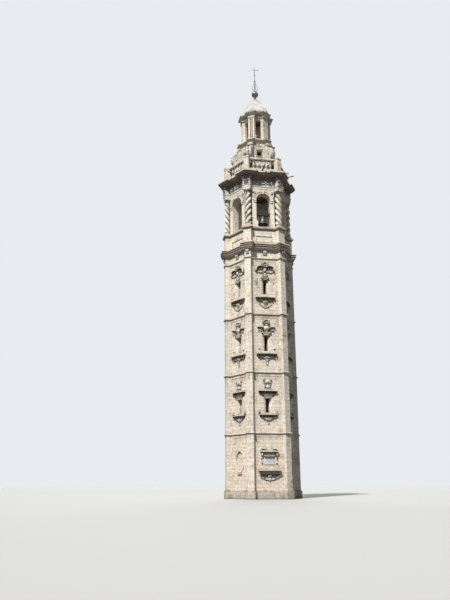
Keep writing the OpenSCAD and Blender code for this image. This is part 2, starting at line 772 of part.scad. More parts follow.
module shaft_cornice() {
    color(dark_stone) translate([0, 0, z_shaft_cornice])
        course(wall_face, pilaster_reach, pilaster_w, cornice_profile(shaft_cornice_out, shaft_cornice_h),
            inner_face);
}

// The course under the belfry, with a sunk panel on each face
module belfry_pedestal() {
    panel_h = 0.42 * pedestal_h;
    color(pale_stone) translate([0, 0, z_pedestal]) difference() {
        linear_extrude(pedestal_h) difference() {
            tower_outline(wall_face, pilaster_reach, column_block_w);
            hexagon(belfry_inner_face);
        }
        on_faces() translate([-500, -wall_face - 1, 0.57 * pedestal_h - panel_h]) cube([1000, 26, panel_h]);
    }
}

module belfry_sill() {
    color(pale_stone) translate([0, 0, z_belfry_sill])
        course(wall_face, pilaster_reach, column_block_w, string_profile(belfry_sill_out, belfry_sill_h),
            belfry_inner_face);
}

// The outline of the belfry's masonry, with a pocket at each corner for its column
module belfry_wall_outline() {
    difference() {
        hexagon(wall_face);
        hexagon(belfry_inner_face);
        on_corners() translate([pocket_floor, -pocket_w / 2]) square([far, pocket_w]);
    }
}

module belfry_piers() {
    head_w = arch_w + 2 * archivolt_w;
    color(stone) translate([0, 0, z_belfry]) difference() {
        linear_extrude(belfry_h) belfry_wall_outline();
        on_faces() {
            translate([-arch_w / 2, -far, -1]) cube([arch_w, far, arch_spring_h + 1]);
            translate([-head_w / 2, -far, arch_spring_h]) cube([head_w, far, belfry_h]);
        }
    }
}

// The heads of the belfry arches, which fill the tops of the openings between the piers,
// each with an archivolt, a keystone and the imposts that the archivolt springs from
module belfry_arches() {
    head_w = arch_w + 2 * archivolt_w;
    head_h = belfry_h - arch_spring_h;
    impost_h = 170;
    key_w = 0.16 * arch_w;
    head_top = arch_w / 2 + 1.15 * archivolt_w;
    color(pale_stone) translate([0, 0, z_belfry + arch_spring_h]) on_faces() {
        translate([0, -belfry_inner_face, 0]) rotate([90, 0, 0]) linear_extrude(belfry_wall_t)
            difference() {
                translate([hair - head_w / 2, 0]) square([head_w - 2 * hair, head_h]);
                circle(arch_w / 2);
            }
        translate([0, -wall_face, 0]) rotate([90, 0, 0]) {
            linear_extrude(archivolt_out) archivolt(arch_w / 2, arch_w / 2 + archivolt_w);
            linear_extrude(1.6 * archivolt_out)
                archivolt(arch_w / 2 + 0.7 * archivolt_w, arch_w / 2 + archivolt_w);
            linear_extrude(2.2 * archivolt_out) polygon([
                [-0.4 * key_w, arch_w / 2 - 35], [0.4 * key_w, arch_w / 2 - 35],
                [0.62 * key_w, head_top], [-0.62 * key_w, head_top]
            ]);
            translate([0, 0, hair]) both_sides() {
                linear_extrude(1.1 * archivolt_out)
                    translate([arch_w / 2, -impost_h]) square([archivolt_w, impost_h]);
                linear_extrude(1.8 * archivolt_out)
                    translate([arch_w / 2, -0.35 * impost_h]) square([1.05 * archivolt_w, 0.35 * impost_h]);
            }
        }
    }
}

// Half a ring over the springing of an arch
module archivolt(r_in, r_out) {
    difference() {
        circle(r_out);
        circle(r_in);
        translate([-2 * r_out, -4 * r_out]) square([4 * r_out, 4 * r_out]);
    }
}

// Number of points round a twisted shaft, and the angle between them
strand_points = 14;
strand_step = 360 / strand_points;

// Radius of a two-stranded shaft at an angle about its axis, as a share of the largest
function strand(a) = 0.72 + 0.28 * pow(abs(cos(a)), 0.7);

// A shaft of two strands; hand is 1 for a right-hand twist and -1 for a left
module twisted_shaft(r, h, pitch, hand, slices) {
    linear_extrude(h, twist = -hand * 360 * h / pitch, slices = slices, segments = strand_points)
        polygon([
            for (i = [0 : strand_points - 1]) let (a = i * strand_step) r * strand(a) * [cos(a), sin(a)]
        ]);
}

// A twisted column between its base and its capital
module twisted_column(hand) {
    base_h = 170;
    capital_h = 260;
    block = 60;
    shaft_h = belfry_h - base_h - capital_h;
    linear_extrude(block) square(2 * column_r, center = true);
    rotate_extrude() polygon([
        [0, block], [column_r, block], [column_r, 1.5 * block], [0.86 * column_r, 1.8 * block],
        [0.86 * column_r, 2.2 * block], [0.93 * column_r, 2.5 * block], [0.8 * column_r, base_h], [0, base_h]
    ]);
    translate([0, 0, base_h]) twisted_shaft(column_r, shaft_h, column_pitch, hand, 36);
    translate([0, 0, belfry_h - capital_h]) rotate_extrude() polygon([
        [0, 0], [0.8 * column_r, 0], [0.8 * column_r, 0.1 * capital_h], [0.7 * column_r, 0.16 * capital_h],
        [0.74 * column_r, 0.4 * capital_h], [0.86 * column_r, 0.62 * capital_h],
        [column_r, capital_h - block], [0, capital_h - block]
    ]);
    translate([0, 0, belfry_h - block]) linear_extrude(block) square(2 * column_r, center = true);
}

module belfry_columns() {
    color(pale_stone) translate([0, 0, z_belfry]) for (i = [0 : 5])
        rotate(60 * i) translate([column_axis, 0, 0]) twisted_column(i % 2 == 0 ? 1 : -1);
}

// The entablature of the belfry: an architrave in two steps, a plain frieze and a bed moulding
module belfry_frieze() {
    h = belfry_frieze_h;
    color(dark_stone) translate([0, 0, z_belfry_frieze])
        course(wall_face, column_block_reach, column_block_w, [
            [0, 0], [0, 0.14 * h], [12, 0.14 * h], [12, 0.28 * h], [40, 0.32 * h], [40, 0.37 * h],
            [0, 0.37 * h], [0, 0.78 * h], [45, 0.86 * h], [45, 0.91 * h], [80, h]
        ], belfry_inner_face);
}

module belfry_cornice() {
    color(dark_stone) translate([0, 0, z_belfry_cornice])
        wrapped_course(wall_face, cornice_break, cornice_break_l,
            cornice_profile(belfry_cornice_out, belfry_cornice_h), belfry_inner_face);
}

module terrace_floor() {
    setback = 10;
    color(dark_stone) translate([0, 0, z_cornice_top]) linear_extrude(terrace_h)
        tower_outline(wall_face, column_block_reach - setback, column_block_w - setback);
}

// The radius of a water spout, and of the channel along it
spout_r = 50;
spout_channel_r = 32;

// How far the rails of the balustrade stand behind the walls, and the corner posts behind the corners
rail_setback = 20;
post_reach = column_block_reach - 20;
post_inner = post_reach - post_w;

module rail_outline(extra) {
    difference() {
        hexagon(wall_face - rail_setback + extra);
        hexagon(wall_face - rail_setback - rail_w - extra);
    }
}

module balustrade_posts() {
    color(pale_stone) translate([0, 0, z_terrace]) on_corners() translate([post_inner, -post_w / 2, 0])
        cube([post_w, post_w, base_rail_h + baluster_h]);
}

// Half-round spouts that lead rain off the terrace, one at the middle of each side
module water_spouts() {
    spout_l = 780;
    color(pale_stone) translate([0, 0, z_terrace + spout_r]) on_faces()
        translate([0, rail_setback - wall_face - hair, 0]) rotate([90, 0, 0]) difference() {
            cylinder(r = spout_r, h = spout_l);
            translate([0, 0, -1]) cylinder(r = spout_channel_r, h = spout_l + 2);
            translate([-spout_channel_r, 0, -1])
                cube([2 * spout_channel_r, 2 * spout_r, spout_l + 2]);
        }
}

// The base rail, in six lengths between the posts, with a drain hole behind each spout,
// and the handrail, which runs over the posts
module balustrade_rails() {
    cap = 20;
    lip_h = 0.35 * handrail_h;
    color(pale_stone) {
        translate([0, 0, z_terrace]) difference() {
            linear_extrude(base_rail_h) difference() {
                rail_outline(0);
                on_corners() translate([post_inner, -post_w / 2]) square([far, post_w]);
            }
            translate([0, 0, spout_r]) on_faces() rotate([90, 0, 0]) cylinder(r = spout_channel_r, h = far);
        }
        translate([0, 0, z_handrail]) linear_extrude(lip_h) handrail_outline(0, 0);
        translate([0, 0, z_handrail + lip_h]) linear_extrude(handrail_h - lip_h) handrail_outline(15, cap);
    }
}

module handrail_outline(extra, cap) {
    rail_outline(extra);
    side = post_w + 2 * cap;
    on_corners() translate([post_inner - cap, -side / 2]) square([side, side]);
}

// Half of the outline of a baluster, turned about its axis
module baluster() {
    rotate_extrude() polygon([
        [0, 0], [baluster_r, 0], [baluster_r, 0.1 * baluster_h], [0.6 * baluster_r, 0.18 * baluster_h],
        [baluster_r, 0.36 * baluster_h], [0.45 * baluster_r, 0.62 * baluster_h],
        [0.45 * baluster_r, 0.8 * baluster_h], [baluster_r, 0.9 * baluster_h],
        [baluster_r, baluster_h], [0, baluster_h]
    ]);
}

module balusters() {
    rail_line = wall_face - rail_setback - rail_w / 2;
    span = 2 * rail_line * tan(30) - post_w;
    step = span / (baluster_count + 0.6);
    color(pale_stone) translate([0, 0, z_balusters]) on_faces() for (k = [0 : baluster_count - 1])
        translate([(k - (baluster_count - 1) / 2) * step, -rail_line, 0]) baluster();
}

// The walls of the drum between its volutes, with a framed window and a panel above it on each face
module drum_walls() {
    frame_w = 35;
    frame_out = 25;
    panel_rise = drum_window_rise + drum_window_h + 110;
    color(stone) translate([0, 0, z_terrace]) difference() {
        union() {
            linear_extrude(drum_h) difference() {
                hexagon(drum_face);
                hexagon(drum_face - drum_wall_t);
                on_corners() translate([0, -volute_t / 2]) square([far, volute_t]);
            }
            on_faces() {
                translate([-drum_window_w / 2 - frame_w, -drum_face - frame_out, drum_window_rise - frame_w])
                    cube([drum_window_w + 2 * frame_w, frame_out + 1, drum_window_h + 2 * frame_w]);
                translate([-drum_window_w / 2 - frame_w, -drum_face - 2 * frame_out, panel_rise])
                    cube([drum_window_w + 2 * frame_w, 2 * frame_out + 1, 45]);
                translate([-drum_window_w / 2, -drum_face - frame_out, panel_rise + 90])
                    cube([drum_window_w, frame_out + 1, 180]);
            }
        }
        on_faces() translate([-drum_window_w / 2, -far, drum_window_rise])
            cube([drum_window_w, far, drum_window_h]);
    }
}

// The middles of the two scrolls of a volute: the great one stands over the foot,
// and the small one lies under the cornice
great_scroll_rx = 280;
great_scroll_x = volute_reach - great_scroll_rx;
great_scroll_z = 0.63 * drum_h;
small_scroll_rx = 145;
small_scroll_x = volute_neck + 35 - small_scroll_rx;
small_scroll_z = 0.935 * drum_h;

// The outline of a volute, from the axis outward
function volute_outline() = concat(
    [[0, 0], [great_scroll_x + great_scroll_rx / 2, 0]],
    arc_points(great_scroll_x, great_scroll_z, great_scroll_rx, 0.18 * drum_h, -60, 78, 13),
    [[volute_neck, 0.835 * drum_h], [volute_neck, 0.86 * drum_h]],
    arc_points(small_scroll_x, small_scroll_z, small_scroll_rx, 0.065 * drum_h, -50, 60, 6),
    [[drum_corner + 10, drum_h], [0, drum_h]]
);

// Scrolled buttresses at the corners of the drum, with round eyes on both cheeks
module drum_volutes() {
    eye_out = 30;
    color(pale_stone) translate([0, 0, z_terrace]) difference() {
        on_corners() rotate([90, 0, 0]) {
            translate([0, 0, -volute_t / 2]) linear_extrude(volute_t) polygon(volute_outline());
            translate([great_scroll_x, great_scroll_z, -volute_t / 2 - eye_out])
                linear_extrude(volute_t + 2 * eye_out) circle(0.5 * great_scroll_rx);
            translate([small_scroll_x, small_scroll_z, -volute_t / 2 - eye_out])
                linear_extrude(volute_t + 2 * eye_out) circle(0.5 * small_scroll_rx);
        }
        translate([0, 0, -1]) linear_extrude(drum_h + 2) hexagon(drum_face - drum_wall_t);
    }
}

module drum_cornice() {
    color(dark_stone) translate([0, 0, z_drum_cornice])
        course(drum_face, drum_corner + 10, volute_t, eave_profile(drum_cornice_out, drum_cornice_h),
            drum_face - drum_wall_t);
}

module lantern_base() {
    step = 30;
    color(pale_stone) translate([0, 0, z_lantern_base]) linear_extrude(lantern_base_h)
        tower_outline(lantern_face + step, lantern_reach + step, lantern_block_w + 2 * step);
}

// How far the arch heads of the lantern reach into the piers
lantern_head_margin = 15;

// Distance from the axis of the tower to the axis of a colonnette, and the channel that it stands in
colonnette_axis = lantern_reach - 0.7 * colonnette_r;
channel_half = colonnette_r + 18;

// The corner piers of the lantern, with a channel in each for its colonnette
module lantern_piers() {
    head_w = lantern_arch_w + 2 * lantern_head_margin;
    color(pale_stone) translate([0, 0, z_lantern]) difference() {
        linear_extrude(lantern_h) difference() {
            tower_outline(lantern_face, lantern_reach, lantern_block_w);
            hexagon(lantern_face - lantern_wall_t);
            on_corners() translate([colonnette_axis - channel_half, -channel_half])
                square([far, 2 * channel_half]);
        }
        on_faces() {
            translate([-lantern_arch_w / 2, -far, -1]) cube([lantern_arch_w, far, lantern_spring_h + 1]);
            translate([-head_w / 2, -far, lantern_spring_h]) cube([head_w, far, lantern_h]);
        }
    }
}

module lantern_arches() {
    head_w = lantern_arch_w + 2 * lantern_head_margin;
    color(pale_stone) translate([0, 0, z_lantern + lantern_spring_h]) on_faces()
        translate([0, -lantern_face + lantern_wall_t, 0])
            rotate([90, 0, 0]) linear_extrude(lantern_wall_t) difference() {
                translate([hair - head_w / 2, 0]) square([head_w - 2 * hair, lantern_h - lantern_spring_h]);
                circle(lantern_arch_w / 2);
            }
}

// A twisted colonnette between two round blocks
module colonnette(hand) {
    end_h = 110;
    cylinder(r = colonnette_r, h = end_h);
    translate([0, 0, end_h])
        twisted_shaft(colonnette_r, lantern_h - 2 * end_h, 0.5 * column_pitch, hand, 20);
    translate([0, 0, lantern_h - end_h]) cylinder(r = colonnette_r, h = end_h);
}

module lantern_columns() {
    color(pale_stone) translate([0, 0, z_lantern]) for (i = [0 : 5])
        rotate(60 * i) translate([colonnette_axis, 0, 0]) colonnette(i % 2 == 0 ? 1 : -1);
}

module lantern_cornice() {
    color(dark_stone) translate([0, 0, z_lantern_cornice])
        course(lantern_face, lantern_reach, lantern_block_w,
            eave_profile(lantern_cornice_out, lantern_cornice_h), lantern_face - lantern_wall_t);
}

// Distance from the axis to a corner of the dome at a share of its curved height
function dome_radius(t) = dome_r * (1 - 0.885 * pow(t, 1.8));

// The points of the dome's corner, a given distance inside its outer face
function dome_points(inset, steps) = concat(
    [[dome_r - inset, 0]],
    [for (i = [0 : steps]) [
        max(1, dome_radius(i / steps) - inset),
        dome_foot_h + (dome_h - dome_foot_h - inset) * i / steps
    ]]
);

// The six-sided dome, a shell on an upright foot, with a fillet where the curve begins
module dome() {
    steps = 12;
    inner = dome_points(dome_t, steps);
    fillet = 20;
    color(plaster) translate([0, 0, z_dome]) {
        rotate_extrude($fn = 6) polygon(concat(
            dome_points(0, steps), [[0, dome_h], [0, dome_h - dome_t]],
            [for (i = [len(inner) - 2 : -1 : 0]) inner[i]]
        ));
        translate([0, 0, dome_foot_h - 2 * fillet]) linear_extrude(fillet) difference() {
            circle(dome_r + fillet, $fn = 6);
            circle(dome_r - fillet, $fn = 6);
        }
    }
}

module finial_ball() {
    collar = 60;
    color(copper) {
        translate([0, 0, z_neck]) cylinder(r = 100, h = 0.4 * neck_h);
        translate([0, 0, z_neck]) cylinder(r = 62, h = neck_h + collar);
        translate([0, 0, z_neck + 0.7 * neck_h]) cylinder(r = 88, h = 0.3 * neck_h + 5);
        difference() {
            translate([0, 0, z_ball]) sphere(ball_r);
            translate([0, 0, z_vane]) cube([2 * ball_r, 2 * ball_r, 2 * vane_seat], center = true);
        }
    }
}

// The top of the ball is cut flat for the foot of the vane
vane_seat = 8;

// The weather vane: a rod with two knots, four curved legs at its foot, and a bar with a pointed end
module weather_vane() {
    knot_r = 46;
    bar_w = 400;
    foot_z = z_vane - vane_seat;
    color(iron) {
        translate([0, 0, foot_z]) cylinder(r = 60, h = 40);
        translate([0, 0, foot_z]) cylinder(r = vane_rod_r, h = vane_h + vane_seat);
        for (share = [0.42, 0.66]) translate([0, 0, z_vane + share * vane_h]) sphere(knot_r);
        for (a = [0 : 90 : 270]) rotate(a) translate([0, 9, foot_z]) rotate([90, 0, 0])
            linear_extrude(18) polygon(band([
                [40, 20], [110, 60], [175, 150], [190, 270], [160, 390], [110, 520], [60, 680], [12, 860]
            ], 22));
        translate([-bar_w / 2, -8, z_vane + 0.86 * vane_h]) cube([bar_w, 16, 34]);
        translate([0, 8, z_vane + 0.86 * vane_h]) rotate([90, 0, 0]) linear_extrude(16) polygon([
            [bar_w / 2, -40], [bar_w / 2 + 90, 17], [bar_w / 2, 74]
        ]);
    }
}

z_axle = z_belfry + axle_rise;
bell_y = -(wall_face + belfry_inner_face) / 2;

module bell() {
    crown = z_axle - 90;
    mouth = crown - bell_h;
    color(bronze) translate([0, bell_y, mouth]) rotate_extrude() polygon([
        [bell_r, 0], [bell_r, 0.05 * bell_h], [bell_r * 0.9, 0.13 * bell_h], [bell_r * 0.78, 0.28 * bell_h],
        [bell_r * 0.68, 0.46 * bell_h], [bell_r * 0.62, 0.66 * bell_h], [bell_r * 0.58, 0.8 * bell_h],
        [bell_r * 0.5, 0.88 * bell_h], [bell_r * 0.3, 0.92 * bell_h], [bell_r * 0.3, bell_h], [0, bell_h],
        [0, 0.92 * bell_h - bell_t], [bell_r * 0.36, 0.88 * bell_h - bell_t],
        [bell_r * 0.58 - bell_t * 0.8, 0.76 * bell_h], [bell_r * 0.68 - bell_t * 0.9, 0.46 * bell_h],
        [bell_r * 0.78 - bell_t, 0.28 * bell_h], [bell_r - bell_t, 0]
    ]);
}

module bell_headstock() {
    color(oak) difference() {
        translate([0, bell_y, z_axle]) rotate([90, 0, 0])
            linear_extrude(headstock_d, center = true) polygon([
                [-headstock_w / 2, -90], [headstock_w / 2, -90], [headstock_w / 2, 90],
                [0.3 * headstock_w, headstock_top], [-0.3 * headstock_w, headstock_top],
                [-headstock_w / 2, 90]
            ]);
        translate([-far / 2, bell_y, z_axle]) rotate([0, 90, 0]) cylinder(r = pin_r, h = far);
    }
    color(iron) translate([-arch_w / 2 + 5, bell_y, z_axle]) rotate([0, 90, 0])
        cylinder(r = pin_r, h = arch_w - 10);
}

module bell_bearings() {
    color(iron) for (side = [-1, 1])
        translate([side * (arch_w - bearing_t) / 2, bell_y, z_axle]) rotate([0, 90, 0]) difference() {
            cube([200, 200, bearing_t], center = true);
            cylinder(r = pin_r + 0.1, h = 2 * bearing_t, center = true);
        }
}

plinth();
stage_1_walls();
stage_1_pilasters();
stage_1_windows();
stage_1_plaques();
stage_2_walls();
stage_2_pilasters();
stage_2_windows();
stage_3_walls();
stage_3_pilasters();
stage_3_windows();
stage_4_walls();
stage_4_pilasters();
stage_4_windows();
string_courses();
floors();
shaft_frieze();
shaft_brackets();
shaft_cornice();
belfry_pedestal();
belfry_sill();
belfry_piers();
belfry_arches();
belfry_columns();
belfry_frieze();
belfry_cornice();
terrace_floor();
water_spouts();
balustrade_posts();
balustrade_rails();
balusters();
drum_walls();
drum_volutes();
drum_cornice();
lantern_base();
lantern_piers();
lantern_arches();
lantern_columns();
lantern_cornice();
dome();
finial_ball();
weather_vane();
bell();
bell_headstock();
bell_bearings();
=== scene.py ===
import json
from functools import partial
from math import cos, pi, radians, sin, tan

import bmesh
import bpy
import numpy as np
from mathutils import Matrix, Vector


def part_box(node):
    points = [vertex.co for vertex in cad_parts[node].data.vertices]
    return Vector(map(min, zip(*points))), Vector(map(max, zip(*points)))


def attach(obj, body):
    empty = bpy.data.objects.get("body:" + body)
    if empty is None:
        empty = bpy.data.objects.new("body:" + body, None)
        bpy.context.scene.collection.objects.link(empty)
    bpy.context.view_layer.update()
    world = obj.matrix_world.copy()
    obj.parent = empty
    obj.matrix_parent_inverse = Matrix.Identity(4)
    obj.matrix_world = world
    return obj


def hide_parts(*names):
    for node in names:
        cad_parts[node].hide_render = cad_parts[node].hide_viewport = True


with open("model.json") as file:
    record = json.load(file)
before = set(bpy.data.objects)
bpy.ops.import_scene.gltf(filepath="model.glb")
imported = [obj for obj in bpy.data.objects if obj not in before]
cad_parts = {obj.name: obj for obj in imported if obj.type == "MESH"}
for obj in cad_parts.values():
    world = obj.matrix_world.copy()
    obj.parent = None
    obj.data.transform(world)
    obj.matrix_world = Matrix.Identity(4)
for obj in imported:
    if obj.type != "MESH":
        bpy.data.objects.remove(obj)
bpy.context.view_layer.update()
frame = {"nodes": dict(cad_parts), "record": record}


# Sizes and levels in millimetres, from the frame

def foot_of(node):
    """The lowest level of a node."""
    return round(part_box(node)[0].z * 1000, 2)


def end_of(node, axis):
    """The furthest that a node goes along an axis: 0 is X, 1 is Y and 2 is Z."""
    return round(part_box(node)[1][axis] * 1000, 2)


def middle_of(node, axis):
    low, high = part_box(node)
    return round((low[axis] + high[axis]) * 500, 2)


STAGE_FOOT = {number: foot_of(f"stage_{number}_walls") for number in (1, 2, 3, 4)}
Z_SHAFT_CORNICE = foot_of("shaft_cornice")
Z_PEDESTAL = foot_of("belfry_pedestal")
Z_BELFRY = foot_of("belfry_piers")
Z_BELFRY_FRIEZE = foot_of("belfry_frieze")
Z_BELFRY_CORNICE = foot_of("belfry_cornice")
Z_TERRACE = foot_of("drum_walls")
Z_BALUSTERS = foot_of("balusters")
Z_DRUM_CORNICE = foot_of("drum_cornice")
Z_LANTERN = foot_of("lantern_piers")
Z_LANTERN_CORNICE = foot_of("lantern_cornice")
Z_DOME = foot_of("dome")
Z_NECK = foot_of("finial_ball")
VANE_SEAT = 8
Z_VANE = foot_of("weather_vane") + VANE_SEAT
VANE_H = end_of("weather_vane", 2) - Z_VANE

WALL_FACE = end_of("stage_2_walls", 1)
PANEL_FACE = WALL_FACE - 15
PILASTER_REACH = end_of("stage_2_pilasters", 0)
PILASTER_W = 375
COLUMN_REACH = end_of("belfry_columns", 0)
COLUMN_R = 215
COLUMN_PITCH = 800
DRUM_FACE = 935
DRUM_H = Z_DRUM_CORNICE - Z_TERRACE
LANTERN_FACE = end_of("lantern_arches", 1)
LANTERN_REACH = end_of("lantern_piers", 0)
COLONNETTE_R = 72.0
BELL_Y = middle_of("bell_bearings", 1)
Z_AXLE = middle_of("bell_bearings", 2)

# Turns that bring what looks along -Y to the six faces, and to the six corners
FACES = range(0, 360, 60)
CORNERS = range(90, 450, 60)
# On the first stage every other face has a balcony, and the rest have a niche
BALCONIES = range(0, 360, 120)
NICHES = range(60, 360, 120)
COS_30 = cos(radians(30))
TAN_30 = tan(radians(30))


# Colours and node trees

def srgb(r, g, b):
    """A linear colour from 8-bit display values."""
    def linear(v):
        v = v / 255
        return v / 12.92 if v <= 0.04045 else ((v + 0.055) / 1.055) ** 2.4
    return (linear(r), linear(g), linear(b), 1.0)


class Tree:
    """The node tree of a material or of the world, with short calls for the nodes that they share."""

    def __init__(self, owner, output="ShaderNodeOutputMaterial"):
        owner.use_nodes = True
        self.tree = owner.node_tree
        self.tree.nodes.clear()
        self.out = self.node(output).inputs[0]

    def put(self, socket, value):
        if isinstance(value, bpy.types.NodeSocket):
            self.tree.links.new(value, socket)
        else:
            socket.default_value = value

    def node(self, kind, values=None, **settings):
        made = self.tree.nodes.new(kind)
        for key, value in settings.items():
            setattr(made, key, value)
        for key, value in (values or {}).items():
            self.put(made.inputs[key], value)
        return made

    def surface(self, values):
        """A principled surface with these inputs."""
        self.put(self.out, self.node("ShaderNodeBsdfPrincipled", values).outputs[0])

    def math(self, operation, a, b=0.0):
        return self.node("ShaderNodeMath", {0: a, 1: b}, operation=operation).outputs[0]

    def times(self, a, b):
        return self.math("MULTIPLY", a, b)

    def plus(self, a, b):
        return self.math("ADD", a, b)

    def most(self, first, *others):
        for other in others:
            first = self.math("MAXIMUM", first, other)
        return first

    def split(self, vector):
        return self.node("ShaderNodeSeparateXYZ", {0: vector}).outputs

    def stretched(self, vector, by):
        return self.node("ShaderNodeVectorMath", {0: vector, 1: by}, operation="MULTIPLY").outputs[0]

    def mix(self, share, a, b):
        """Two colours in one: 6, 7 and 2 are the colour sockets of the node."""
        made = self.node("ShaderNodeMix", {"Factor": share, 6: a, 7: b}, data_type="RGBA")
        return made.outputs[2]

    def step(self, value, low, high, to_low=0.0, to_high=1.0):
        return self.node("ShaderNodeMapRange", {
            "Value": value, "From Min": low, "From Max": high, "To Min": to_low, "To Max": to_high,
        }, interpolation_type="SMOOTHSTEP").outputs[0]

    def noise(self, vector, scale, detail, rough):
        return self.node("ShaderNodeTexNoise", {
            "Vector": vector, "Scale": scale, "Detail": detail, "Roughness": rough,
        }).outputs["Fac"]

    def bump(self, height, strength, distance):
        return self.node("ShaderNodeBump", {
            "Height": height, "Strength": strength, "Distance": distance,
        }).outputs[0]

    def place(self):
        return self.node("ShaderNodeTexCoord").outputs["Object"]

    def openness(self, distance, samples):
        """1 on open surfaces, and less in hollows."""
        return self.node("ShaderNodeAmbientOcclusion", {"Distance": distance}, samples=samples).outputs["AO"]

    def seen(self):
        """1 for rays that show a surface to the camera, straight or in a reflection."""
        rays = self.node("ShaderNodeLightPath").outputs
        return self.most(rays["Is Camera Ray"], rays["Is Glossy Ray"], rays["Is Transmission Ray"])


MATERIALS = {}


def new_material(name):
    """The node tree of a new material, which is kept under its name."""
    MATERIALS[name] = bpy.data.materials.new(name)
    return Tree(MATERIALS[name])


# Stone, with its sizes and levels in metres
ROW_H = 0.19
STONE_W = 0.46
TOWER_H = 28.0

# Heights of the ledges that rain and soot run down from
LEDGES = (3.35, 6.64, 9.98, 13.87, 15.23, 18.6, 21.55, 23.45)


def courses(t, position, facing):
    """Squared stones in rows, each row half a stone along from the last. Returns a random value
    for each stone, one for each row, and where the joints are."""
    x, y, z = position
    nx, ny, nz = facing
    # Distance along the wall, from the position and the way that the wall faces
    along = t.math("SUBTRACT", t.times(y, nx), t.times(x, ny))
    level = t.math("DIVIDE", z, ROW_H)
    row = t.math("FLOOR", level)
    shifted = t.plus(t.math("DIVIDE", along, STONE_W), t.times(row, 0.5))
    wall = t.times(t.plus(nx, t.times(ny, 2.0)), 3.0)
    key = t.node("ShaderNodeCombineXYZ", {0: row, 1: t.math("FLOOR", shifted), 2: wall}).outputs[0]
    per_stone = t.node("ShaderNodeTexWhiteNoise", {"Vector": key}, noise_dimensions="3D").outputs["Value"]
    per_row = t.node("ShaderNodeTexWhiteNoise", {"W": row}, noise_dimensions="1D").outputs["Value"]
    bed = t.step(t.times(t.math("PINGPONG", level, 0.5), ROW_H), 0.003, 0.012, 1.0, 0.0)
    side = t.step(t.times(t.math("PINGPONG", shifted, 0.5), STONE_W), 0.002, 0.007, 0.7, 0.0)
    upright = t.step(t.math("ABSOLUTE", nz), 0.3, 0.6, 1.0, 0.0)
    return per_stone, per_row, t.times(t.most(bed, side), upright)


def below_ledges(t, z):
    """1 right under each ledge, fading out within 0.75 m below it, and 0.45 at the ground."""
    ramp = t.node("ShaderNodeValToRGB", {"Fac": t.math("DIVIDE", z, TOWER_H)})
    stops = ramp.color_ramp.elements
    stops[0].color = (0.45, 0.45, 0.45, 1)
    stops[1].color = (0, 0, 0, 1)
    stops.new(1.2 / TOWER_H).color = (0, 0, 0, 1)
    for ledge in LEDGES:
        for level, share in ((ledge - 0.75, 0), (ledge, 1), (ledge + 0.02, 0)):
            stops.new(level / TOWER_H).color = (share, share, share, 1)
    return ramp.outputs[0]


